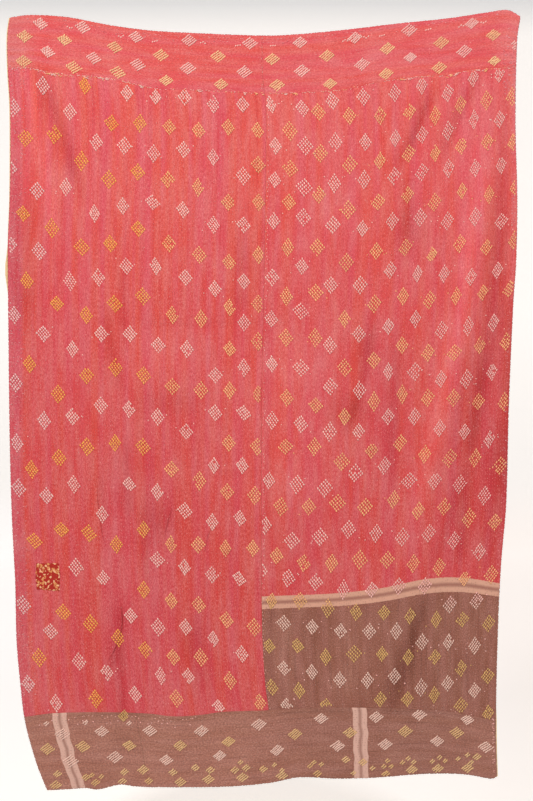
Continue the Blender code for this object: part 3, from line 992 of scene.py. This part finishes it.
Turn = namedtuple("Turn", "colour axis start stop")      # to another colour from start to stop
WHITE_THREAD = (1.0, 0.58, 0.51)
WORN_WHITE = (0.96, 0.49, 0.44)
YELLOW_THREAD = (1.0, 0.50, 0.23)
WORN_YELLOW = (0.93, 0.42, 0.20)
WHITE_AT_EDGE = Turn((0.92, 0.56, 0.53), "X", -0.54, -0.60)
WHITE_AT_RIGHT = Turn((0.95, 0.51, 0.46), "X", 0.15, 0.40)
WHITE_ON_BROWN = Turn((0.91, 0.60, 0.49), "Z", -1.48, -1.53)
ORANGE_AT_LEFT = Turn((0.96, 0.43, 0.085), "X", -0.22, -0.36)
GOLD_ON_BROWN = Turn((0.76, 0.45, 0.16), "Z", -1.48, -1.53)


def thread_finish(name, slot, clean, worn, turns=()):
    """Cotton thread, worn duller in places, that can turn to other colours across the quilt."""
    finish = Finish(name, 0.75, 0.3)
    place = finish.own_place()
    wear = finish.step(finish.blots(place, 12, detail=2), 0.46, 0.68)
    colour = finish.mix(wear, clean, worn)
    for turn in turns:
        kept = finish.step(finish.part(place, turn.axis), turn.stop, turn.start)
        colour = finish.mix(kept, turn.colour, colour)
    flecks = finish.blots(place, 260, detail=1, shift=4)
    finish.paint(finish.shade(colour, flecks * 0.5 + 0.80))
    finish.emboss(finish.blots(place, 1500, shift=2), FINE_RELIEF)
    return Thread(finish.material, slot)


dash = add_bead_of_thread("dash", width=4.5, length=7.0, rise=1.8, taper=(0.75, 0.75))
white_thread = thread_finish("white_thread", "white_thread", WHITE_THREAD, WORN_WHITE,
                             [WHITE_AT_EDGE])
orange_thread = thread_finish("orange_thread", "yellow_thread", YELLOW_THREAD, WORN_YELLOW,
                              [ORANGE_AT_LEFT])
greyed_thread = thread_finish("greyed_thread", "white_thread", WHITE_THREAD, WORN_WHITE,
                              [WHITE_AT_RIGHT, WHITE_ON_BROWN])
golden_thread = thread_finish("golden_thread", "yellow_thread", YELLOW_THREAD, WORN_YELLOW,
                              [GOLD_ON_BROWN])
panel_diamonds("left_panel_white_diamonds", white_thread, LEFT_GUIDES, LEFT_WHITE, 0, LEFT)
panel_diamonds("left_panel_yellow_diamonds", orange_thread, LEFT_GUIDES, LEFT_YELLOW, 0.5, LEFT)
panel_diamonds("right_panel_white_diamonds", greyed_thread, RIGHT_GUIDES, RIGHT_WHITE, 0, RIGHT)
panel_diamonds("right_panel_yellow_diamonds", golden_thread, RIGHT_GUIDES, RIGHT_YELLOW, 0.5, RIGHT)

# --------------------------------------
# Woven diamonds of the bands: the same pattern turned with the cloth, so they are wider than tall
# and their dashes join into slanting strokes. Smaller ones crowd along the hem.

# Each row of diamonds: how far down the band it lies at the left, in the middle and at the right,
# as shares of the band's height, and the places across of its diamonds.
TOP_WHITE_ROWS = (
    ((0.14, 0.14, 0.14), (-596, -484, -343, -202, -40, 93, 239, 383, 549)),
    ((0.63, 0.63, 0.63), (-577, -455, -338, -205, -55, 98, 258, 386, 529)),
)
TOP_YELLOW_ROWS = (
    ((0.40, 0.40, 0.40), (-638, -532, -399, -277, -125, 19, 165, 325, 468, 606)),
    ((0.86, 0.86, 0.86), (-641, -508, -391, -263, -117, 32, 173, 322, 463, 609)),
)
BOTTOM_WHITE_ROWS = (
    ((0.28, 0.18, 0.05), (-537, -434, -307, -169, -16, 149, 295, 410, 539)),
    ((0.64, 0.57, 0.48), (-515, -399, -263, -120, 32, 194, 319, 458, 588)),
)
BOTTOM_YELLOW_ROWS = (
    ((0.47, 0.38, 0.28), (-577, -483, -362, -226, -97, 80, 226, 372, 511)),
)
TOP_DASHES = (-519, -383, -293, -165, -72, 21, 213, 269, 311, 434, 521, 580)
ROW_PLACES = (-600, 0, 600)         # where those shares hold
ROW_STRAY = 1.5
BAND_ROW_STEP = 3.4                 # the steps of the chart of a diamond, turned with the cloth
BAND_DASH_STEP = 8.9


def turned_dashes(x, drop, count, size, rise):
    """The dashes of diamonds that lie on their side, so many dashes along each edge."""
    row, column = lozenge(count)
    side = column * BAND_DASH_STEP * size[:, None]
    fall = row * BAND_ROW_STEP * size[:, None]
    dash_x = x[:, None] + side + rng.normal(0, 0.4, side.shape)
    dash_drop = drop[:, None] + fall - side * rise[:, None] + rng.normal(0, 0.3, side.shape)
    fanned = eased((-420 - x[:, None]) / 150)
    turn = 0.80 + fanned * (side / 30 - 0.45) * (drop[:, None] < 500) + rng.normal(0, 0.1, side.shape)
    return dash_x.ravel(), dash_drop.ravel(), turn.ravel()


def band_diamonds(name, thread, rows, down, size):
    """One colour of diamonds on one band, in rows that follow its two edges."""
    xs = [np.array(places, float) for _, places in rows]
    drops = [between(LEVELS, down + np.interp(x, ROW_PLACES, shares), x)
             for x, (shares, _) in zip(xs, rows)]
    x, drop = np.concatenate(xs), np.concatenate(drops)
    drop = drop + rng.normal(0, ROW_STRAY, len(x))
    slope = (between(LEVELS, down + 0.5, x + 30) - between(LEVELS, down + 0.5, x - 30)) / 60
    sizes = size + rng.normal(0, 0.06, len(x))
    rise = -slope - 0.12 * eased((-x - 150) / 400)
    dash_x, dash_drop, turn = turned_dashes(x, drop, DASHES_ALONG_EDGE, sizes, rise)
    kept = on_cloth(dash_x, dash_drop, WHOLE, (down, down + 1))
    sew(name, dash, thread, dash_x[kept], dash_drop[kept], turn[kept], DASH_SUNK,
        rng.uniform(1.05, 1.4, kept.sum()), rng.uniform(0.72, 0.95, kept.sum()))


# The places of small diamonds, by how many dashes each has along an edge.
HEM_CLUSTERS = {
    2: ((-460, 1965), (-435, 1970), (-65, 1930), (25, 1940), (45, 1955), (130, 1935), (150, 1940),
        (120, 1945), (235, 1960), (285, 1945), (325, 1925), (315, 1940), (335, 1940), (380, 1920),
        (395, 1930), (365, 1930), (465, 1920), (445, 1930), (480, 1930), (540, 1915), (515, 1925),
        (550, 1935)),
    3: ((-550, 1960), (-475, 1970), (-450, 1985), (-375, 1960), (-380, 1985), (-310, 1985), (-245, 1960),
        (-185, 1945), (-145, 1950), (-80, 1950), (-50, 1945), (-5, 1950), (140, 1965), (215, 1925),
        (260, 1930), (320, 1960), (565, 1920)),
    4: ((-555, 1990), (-325, 1955), (-225, 1985), (-150, 1975), (-60, 1970), (45, 1970), (390, 1950),
        (460, 1950), (540, 1950)),
}
SMALL_WHITE_ONES = {2: ((-580, 1827), (-476, 1825), (-362, 1830), (661, 21), (663, 33))}
# One diamond woven upright, just under the seam: x, drop, lean, tilt, width, height and slant.
GOLDEN_ONE = (-376, 1810, 0.1, 0, 0.72, 0.66, -0.1)


def join_places(*groups):
    """One long list of x, drop and turn out of several."""
    return [np.concatenate(parts) for parts in zip(*groups)]


def small_diamonds(clusters):
    """The x, drop and turn of the dashes of small diamonds."""
    groups = []
    for count, places in clusters.items():
        x, drop = np.array(places, float).T
        groups.append(turned_dashes(x, drop, count, np.full(len(x), 0.98), np.zeros(len(x))))
    return join_places(*groups)


straw_thread = thread_finish("straw_thread", "yellow_thread", (0.98, 0.58, 0.30),
                             (0.92, 0.50, 0.26), [Turn((0.81, 0.50, 0.23), "Z", -1.48, -1.53)])
hem_thread = thread_finish("hem_thread", "yellow_thread", (0.84, 0.54, 0.26), (0.78, 0.47, 0.20))
for name, thread, clusters in (("hem_yellow_strokes", hem_thread, HEM_CLUSTERS),
                               ("small_white_strokes", greyed_thread, SMALL_WHITE_ONES)):
    x, drop, turn = small_diamonds(clusters)
    kept = on_cloth(x, drop, WHOLE, (0, 3))
    sew(name, dash, thread, x[kept], drop[kept], turn[kept], DASH_SUNK, 1.35, 0.85)
places = dashes_of_diamonds(*(np.array([value]) for value in GOLDEN_ONE))
sew("golden_diamond", dash, golden_thread, *places, DASH_SUNK, 0.8, 0.8)
x = np.repeat(np.array(TOP_DASHES, float), 3) + np.tile((-6, 0, 6), len(TOP_DASHES))
drop = between(LEVELS, 0.17, x) + rng.normal(0, ROW_STRAY, len(x))
sew("top_band_small_dashes", dash, white_thread, x, drop, 0.8, DASH_SUNK, 0.8, 0.8)
band_diamonds("top_band_white_diamonds", greyed_thread, TOP_WHITE_ROWS, 0, 1.0)
band_diamonds("top_band_yellow_diamonds", straw_thread, TOP_YELLOW_ROWS, 0, 1.0)
band_diamonds("bottom_band_white_diamonds", greyed_thread, BOTTOM_WHITE_ROWS, 2, 0.92)
band_diamonds("bottom_band_yellow_diamonds", straw_thread, BOTTOM_YELLOW_ROWS, 2, 0.92)
discard(dash)

# --------------------------------------
# Running stitches: rows of hand stitching in rose thread hold the layers together all over, down
# the panels and along the bands. The rows wander a little and each stitch is its own length.

STITCH_SUNK = 0.2
MISSING_STITCHES = 0.13


def stitch_rows(across, down, upright):
    """The x, drop and turn of running stitches over a cloth, in rows that follow its long side."""
    width, height = size_on_quilt(across, down)
    length, spread = (height, width) if upright else (width, height)
    rows, count = round(spread / STITCH_ROW) - 1, round(length / STITCH_PERIOD)
    row, place = np.meshgrid(np.arange(rows), np.arange(count), indexing="ij")
    along = (place + 0.5 + rng.uniform(-0.5, 0.5, (rows, 1)) + rng.normal(0, 0.10, row.shape)) / count
    phase = rng.uniform(0, math.tau, (rows, 1))
    wander = 0.16 * np.sin(along * 9 + phase) + rng.normal(0, 0.06, row.shape)
    beside = (row + 1 + wander) / (rows + 1)
    along, beside = np.clip(along, 0.004, 0.996).ravel(), beside.ravel()
    share_across, share_down = (beside, along) if upright else (along, beside)
    a = across[0] + (across[1] - across[0]) * share_across
    d = down[0] + (down[1] - down[0]) * share_down
    x, drop = place_on_quilt(a, d)
    nudge = 0.01
    next_x, next_drop = place_on_quilt(a + (0 if upright else nudge), d + (nudge if upright else 0))
    turn = np.arctan2(next_x - x, drop - next_drop)
    turn = turn + rng.normal(0, 0.13, len(x))
    return x, drop, turn


def running_stitches(name, thread, places):
    """The stitches at some places, but for those that have worn away."""
    kept = rng.uniform(size=len(places[0])) > MISSING_STITCHES
    x, drop, turn = (values[kept] for values in places)
    sew(name, stitch, thread, x, drop, turn, STITCH_SUNK,
        rng.uniform(0.7, 1.3, len(x)), rng.uniform(0.8, 1.25, len(x)))


def soft_thread_finish(name, slot, plain, pale):
    """Thin stitching thread, dyed like the cloth and paler here and there."""
    finish = Finish(name, 0.8, 0.2)
    place = finish.own_place()
    pale_share = finish.step(finish.blots(place, 160, detail=1, shift=3), 0.50, 0.66)
    colour = finish.mix(pale_share, plain, pale)
    patches = finish.blots(place, 6, detail=2, shift=9)
    finish.paint(finish.shade(colour, patches * 0.3 + 0.85))
    return Thread(finish.material, slot)


rose_thread = soft_thread_finish("rose_thread", "rose_thread", (0.80, 0.20, 0.20), (0.90, 0.46, 0.43))
brown_thread = soft_thread_finish("brown_thread", "brown_thread", (0.42, 0.20, 0.16),
                                  (0.66, 0.42, 0.36))
stitch = add_bead_of_thread("stitch", width=1.5, length=5.2, rise=0.9, taper=(0.4, 0.6))
running_stitches("left_panel_stitches", rose_thread, stitch_rows(LEFT, PANELS_DOWN, True))
places = stitch_rows(RIGHT, PANELS_DOWN, True)
brown = on_brown(places[0], places[1])
running_stitches("right_panel_rose_stitches", rose_thread, [values[~brown] for values in places])
running_stitches("right_panel_brown_stitches", brown_thread, [values[brown] for values in places])
running_stitches("top_band_stitches", rose_thread, stitch_rows(WHOLE, TOP_BAND_DOWN, False))
running_stitches("bottom_band_stitches", brown_thread, stitch_rows(WHOLE, BOTTOM_BAND_DOWN, False))
discard(stitch)

# --------------------------------------
# Seams: the cloths are sewn together by hand with whitish thread, worn to short dashes along the
# centre seam and frayed to cream and yellow tufts along the top one.

SEAM_SUNK = 0.25
TUFT_SUNK = 0.1
THREADS_IN_TUFT = 5

# Places along the top seam where the thread has frayed.
WHITE_TUFTS = (-563, -476, -432, -420, -330, -173, -51, 56, 380, 508, 572)
YELLOW_TUFTS = (-574, -548, -21, 82, 362, 492, 588)


def along_line(start, stop, pitch, stray):
    """Uneven places along a line."""
    places = np.arange(start, stop, pitch)
    return places + rng.uniform(-stray, stray, len(places)) * pitch


def line_tilt(line, place, reach=8):
    """How much a seam's or edge's value changes over each mm along it."""
    return (smooth_through(line, place + reach) - smooth_through(line, place - reach)) / (2 * reach)


def seam_dashes(line, start, stop, pitch, kept_share, beside):
    """Dashes down an upright seam, some way to its right."""
    drop = along_line(start, stop, pitch, 0.3)
    drop = drop[rng.uniform(size=len(drop)) < kept_share]
    x = smooth_through(line, drop) + beside + rng.normal(0, 0.7 + beside / 4, len(drop))
    return x, drop, -line_tilt(line, drop) + rng.normal(0, 0.25, len(drop))


def level_dashes(line, start, stop, pitch, kept_share, below=0.0, spread=1.0):
    """Dashes along a level seam, some way below it."""
    x = along_line(start, stop, pitch, 0.4)
    x = x[rng.uniform(size=len(x)) < kept_share]
    drop = smooth_through(line, x) + below + rng.normal(0, spread, len(x))
    return x, drop, math.pi / 2 + line_tilt(line, x) + rng.normal(0, 0.3, len(x))


def tufts(places):
    """Frayed ends that lie across one another along the top seam."""
    x = np.repeat(np.array(places, float), THREADS_IN_TUFT)
    x = x + rng.normal(0, 4.5, len(x))
    drop = smooth_through(TOP_SEAM, x) + 2 + rng.normal(0, 1.6, len(x))
    return x, drop, math.pi / 2 + rng.normal(0, 0.6, len(x))


seam_thread = add_bead_of_thread("seam_thread", width=2.1, length=4.6, rise=1.4, taper=(0.6, 0.7))
places = join_places(
    seam_dashes(CENTRE_SEAM, 165, 1480, 10.5, 0.6, 6),
    seam_dashes(CENTRE_SEAM, 1490, 1790, 9, 0.8, 2),
    seam_dashes(((5, -8), (80, -8), (150, -8)), 8, 148, 11, 0.5, 0),
    level_dashes(TOP_SEAM, -676, 662, 5.2, 0.62),
    level_dashes(TOP_SEAM, -676, -350, 4.4, 0.55, spread=2.2),
    level_dashes(BOTTOM_SEAM, -560, -150, 9, 0.6, below=9, spread=3),
    level_dashes(BOTTOM_SEAM, 430, 612, 9, 0.5, below=-6, spread=7))
sew("seam_white_stitches", seam_thread, white_thread, *places, SEAM_SUNK)
places = join_places(
    level_dashes(TOP_SEAM, -660, 640, 16, 0.5, spread=1.5),
    level_dashes(TOP_SEAM, -610, -400, 8, 0.6, spread=2.0))
sew("seam_yellow_stitches", seam_thread, golden_thread, *places, SEAM_SUNK)
tuft_thread = add_bead_of_thread("tuft_thread", width=2.2, length=9.0, rise=2.0, taper=(0.6, 0.7))
sew("white_tufts", tuft_thread, white_thread, *tufts(WHITE_TUFTS), TUFT_SUNK)
sew("yellow_tufts", tuft_thread, golden_thread, *tufts(YELLOW_TUFTS), TUFT_SUNK)
discard(seam_thread)
discard(tuft_thread)

# --------------------------------------
# Rim: the raw edges of all layers are whipped together with rose or brown thread that loops over
# the edge every seven millimetres, and a row of running stitches follows close inside it.

WHIP_PITCH = 7.0
WHIP_SIZE_ALONG = 4.5
WHIP_OFF_CLOTH = 0.35
WHIP_INSIDE = 6.5                   # how far in from the edge the thread goes through
WHIP_OUTSIDE = 0.8
LAYERS_HALF_THICKNESS = -FRONT_FACE / MM
LEFT_BROWN, RIGHT_BROWN = 1805, 1480     # the thread is brown below these drops
TICK_SUNK, LOW_TICK_SUNK = 0.2, 0.1


def add_whip_loop():
    """One loop of thread round the rim, its inner end towards +X."""
    deselect()
    bpy.ops.mesh.primitive_torus_add(major_segments=8, minor_segments=3, major_radius=1,
                                     minor_radius=0.24, rotation=(math.pi / 2, 0, 0))
    loop = bpy.context.object
    loop.name = "whip_loop"
    bpy.ops.object.transform_apply(location=True, rotation=True, scale=True)
    bpy.ops.object.mode_set(mode="EDIT")
    bpy.ops.transform.resize(value=((WHIP_INSIDE + WHIP_OUTSIDE) / 2 * MM,
                                    (LAYERS_HALF_THICKNESS + WHIP_OFF_CLOTH) * MM,
                                    WHIP_SIZE_ALONG * MM))
    bpy.ops.transform.translate(value=((WHIP_INSIDE - WHIP_OUTSIDE) / 2 * MM, 0, 0))
    bpy.ops.mesh.quads_convert_to_tris()
    bpy.ops.object.mode_set(mode="OBJECT")
    return loop


def upright_rim(line, start, stop, inward):
    """Places for loops down a side edge. Inward is 1 at the left and -1 at the right."""
    drop = along_line(start, stop, WHIP_PITCH, 0.2)
    turn = -line_tilt(line, drop) + rng.normal(0, 0.15, len(drop))
    return smooth_through(line, drop), drop, turn + (0 if inward > 0 else math.pi)


def level_rim(line, start, stop, inward):
    """Places for loops along the top or bottom edge. Inward is 1 at the top and -1 below."""
    x = along_line(start, stop, WHIP_PITCH, 0.2)
    turn = line_tilt(line, x) + rng.normal(0, 0.15, len(x))
    return x, smooth_through(line, x), turn + inward * math.pi / 2


def edge_ticks(line, start, stop, count, widest, inward):
    """Short level stitches beside a side edge, most of them close to it."""
    drop = rng.uniform(start, stop, count)
    inside = 5 + (widest - 5) * rng.uniform(size=count) ** 1.6
    turn = math.pi / 2 - line_tilt(line, drop) + rng.normal(0, 0.2, count)
    return smooth_through(line, drop) + inward * inside, drop, turn


whip_loop = add_whip_loop()
rose_rim = join_places(
    upright_rim(LEFT_EDGE, -38, LEFT_BROWN, 1),
    upright_rim(RIGHT_EDGE, -42, RIGHT_BROWN, -1),
    level_rim(TOP_EDGE, -672, 672, 1))
brown_rim = join_places(
    upright_rim(LEFT_EDGE, LEFT_BROWN, 1998, 1),
    upright_rim(RIGHT_EDGE, RIGHT_BROWN, 1966, -1),
    level_rim(BOTTOM_EDGE, -574, 612, -1))
# Every second rose loop is dark red: painted shade for the dark gaps between the loops.
gap_shade_thread = soft_thread_finish("gap_shade_rose_thread", "rose_thread", (0.42, 0.05, 0.06),
                                 (0.70, 0.20, 0.20))
for name, thread, places in (
        ("rose_whip_stitches", rose_thread, [values[::2] for values in rose_rim]),
        ("gap_shade_whip_stitches", gap_shade_thread, [values[1::2] for values in rose_rim]),
        ("brown_whip_stitches", brown_thread, brown_rim)):
    sew(name, whip_loop, thread, *places, LAYERS_HALF_THICKNESS)
discard(whip_loop)

tick = add_bead_of_thread("tick", width=1.7, length=5.5, rise=1.2, taper=(0.6, 0.7))
places = join_places(
    edge_ticks(LEFT_EDGE, 70, 1780, 620, 42, 1),
    edge_ticks(RIGHT_EDGE, -20, 160, 90, 36, -1),
    edge_ticks(RIGHT_EDGE, 160, 1450, 130, 14, -1),
    level_dashes(TOP_EDGE, -640, 640, 7, 0.8, below=9, spread=0.8),
    level_dashes(TOP_EDGE, -640, 640, 9, 0.5, below=19, spread=1.5))
pale_thread = soft_thread_finish("pale_rose_thread", "rose_thread", (0.86, 0.28, 0.30),
                                 (0.96, 0.54, 0.54))
sew("edge_ticks", tick, pale_thread, *places, TICK_SUNK)
places = edge_ticks(RIGHT_EDGE, 1815, 1965, 34, 9, -1)
sew("low_right_edge_ticks", tick, white_thread, *places, LOW_TICK_SUNK)
discard(tick)

# --------------------------------------
# Stray threads: here and there a loose end or a single short stitch of the woven threads shows as a
# dot beside a diamond, most of them on the right panel.

DOT_SUNK = 0.4
RIGHT_DOTS, LEFT_DOTS = 160, 60     # how many white ones each panel has
YELLOW_SHARE = 3                    # the right panel has a yellow one for so many white ones


def stray_dots(count, guides, heights, shift, across):
    """Places for dots near the side corners of diamonds chosen by chance."""
    x, drop, _ = diamonds_in_columns(guides, heights, shift)
    chosen = rng.integers(0, len(x), count)
    side = rng.choice((-1, 1), count) * rng.uniform(19, 30, count)
    x, drop = x[chosen] + side, drop[chosen] + rng.uniform(-22, 22, count)
    kept = on_cloth(x, drop, across, PANELS_DOWN, margin=8)
    return x[kept], drop[kept], rng.uniform(-1.5, 1.5, kept.sum())


dot = add_bead_of_thread("dot", width=3.6, length=4.0, rise=1.8, taper=(0.7, 0.7))
places = join_places(
    stray_dots(RIGHT_DOTS, RIGHT_GUIDES, RIGHT_WHITE, 0, RIGHT),
    stray_dots(LEFT_DOTS, LEFT_GUIDES, LEFT_WHITE, 0, LEFT),
    level_dashes(BOTTOM_SEAM, -600, -180, 13, 0.7, below=24, spread=4))
sew("white_dots", dot, white_thread, *places, DOT_SUNK, rng.uniform(0.6, 1.2, len(places[0])))
places = stray_dots(RIGHT_DOTS // YELLOW_SHARE, RIGHT_GUIDES, RIGHT_YELLOW, 0.5, RIGHT)
sew("yellow_dots", dot, golden_thread, *places, DOT_SUNK, rng.uniform(0.6, 1.2, len(places[0])))
discard(dot)

# --------------------------------------
# Studio: a pale floor and back wall in one sweep, a large soft lamp at the upper left, a fainter one
# at the right, and the camera level with the middle of the quilt.

FLOOR_DROP = 2.14
FLOOR_WIDTH = 24
WALL_Y = 9.5
WALL_HEIGHT = 10
SWEEP_RADIUS = 2.0
SWEEP_SEGMENTS = 12
CAMERA_PLACE = (0.004, -4.0, -0.970)
FRAME_HEIGHT = 2.131                # of the view at the quilt
SENSOR = 36.0
LAMP_AIM = (0, 0, -0.6)
LAMP_SIZE = 1.4
AIR = (1.0, 0.975, 0.945, 1)
AIR_STRENGTH = 0.24
PAPER = (0.76, 0.75, 0.74)          # its glow evens it out to the brightness of a lit wall
GLOW = (0.540, 0.512, 0.490)
HIGH_SHADED_GLOW = (0.255, 0.267, 0.28)
LOW_GLOW = (0.60, 0.575, 0.565)
LOW_RIGHT_SHADED_GLOW = (0.575, 0.515, 0.485)
NEAR_GLOW = (0.12, 0.13, 0.15)


def edit_back_edges(sweep, below):
    """Go on editing with only the edges selected that lie at the back and below a height."""
    bpy.ops.mesh.select_all(action="DESELECT")
    bpy.ops.object.mode_set(mode="OBJECT")
    for edge in sweep.data.edges:
        ends = [sweep.data.vertices[end].co for end in edge.vertices]
        edge.select = all(end.y > 1 and end.z < below for end in ends)
    bpy.ops.object.mode_set(mode="EDIT")


def add_sweep():
    deselect()
    bpy.ops.mesh.primitive_plane_add(size=1, location=(0, 0, -FLOOR_DROP), scale=(1, 1, 1))
    sweep = bpy.context.object
    sweep.name = "studio_sweep"
    bpy.ops.transform.resize(value=(FLOOR_WIDTH, 2 * WALL_Y, 1))
    bpy.ops.object.transform_apply(location=True, rotation=True, scale=True)
    bpy.ops.object.mode_set(mode="EDIT")
    bpy.ops.mesh.select_mode(type="EDGE")
    edit_back_edges(sweep, 0)
    bpy.ops.mesh.extrude_region_move(TRANSFORM_OT_translate={"value": (0, 0, WALL_HEIGHT)})
    edit_back_edges(sweep, -1)
    bpy.ops.mesh.bevel(offset=SWEEP_RADIUS, segments=SWEEP_SEGMENTS)
    bpy.ops.object.mode_set(mode="OBJECT")
    bpy.ops.object.shade_smooth()
    return sweep


def paper_finish():
    finish = Finish("studio_paper", 0.95)
    finish.paint(PAPER)
    across, away, height = (finish.part(finish.own_place(), axis) for axis in "XYZ")
    # The paper's glow is painted light that evens it out to a lit white, a little brighter on the floor;
    # it is dimmer high up and at the lower right, painted shade, and faint near the front.
    glow = finish.mix(finish.step(across, 0.4, 1.2), LOW_GLOW, LOW_RIGHT_SHADED_GLOW)
    glow = finish.mix(finish.step(height, -2.1, -1.6), glow, GLOW)
    glow = finish.mix(finish.step(height, 2.25, 2.75), glow, HIGH_SHADED_GLOW)
    glow = finish.mix(finish.step(away, -0.1, 0.35), NEAR_GLOW, glow)
    feed(finish.shader.inputs["Emission Color"], glow)
    finish.shader.inputs["Emission Strength"].default_value = 1.0
    return finish.material


def add_lamp(name, place, power, colour):
    deselect()
    bpy.ops.object.light_add(type="AREA", location=place)
    lamp = bpy.context.object
    lamp.name = name
    lamp.data.size = LAMP_SIZE
    lamp.data.energy = power
    lamp.data.color = colour
    away = [a - b for a, b in zip(place, LAMP_AIM)]
    flat = math.hypot(away[0], away[1])
    lamp.rotation_euler = (math.atan2(flat, away[2]), 0, math.atan2(away[0], -away[1]))


sweep = add_sweep()
sweep.data.materials.append(paper_finish())

add_lamp("key_lamp", (-3.4, -4.4, 2.6), power=215, colour=(1.0, 0.975, 0.95))
add_lamp("fill_lamp", (3.4, -4.4, 2.6), power=140, colour=(1.0, 0.98, 0.97))

world = bpy.data.worlds.new("studio_air")
bpy.context.scene.world = world
world.use_nodes = True
world.node_tree.nodes["Background"].inputs["Color"].default_value = AIR
world.node_tree.nodes["Background"].inputs["Strength"].default_value = AIR_STRENGTH
bpy.context.scene.view_settings.view_transform = "Standard"

deselect()
bpy.ops.object.camera_add(location=CAMERA_PLACE, rotation=(math.pi / 2, 0, 0))
camera = bpy.context.object
camera.name = "camera"
camera.data.sensor_width = SENSOR
camera.data.lens = SENSOR * -CAMERA_PLACE[1] / FRAME_HEIGHT
bpy.context.scene.camera = camera
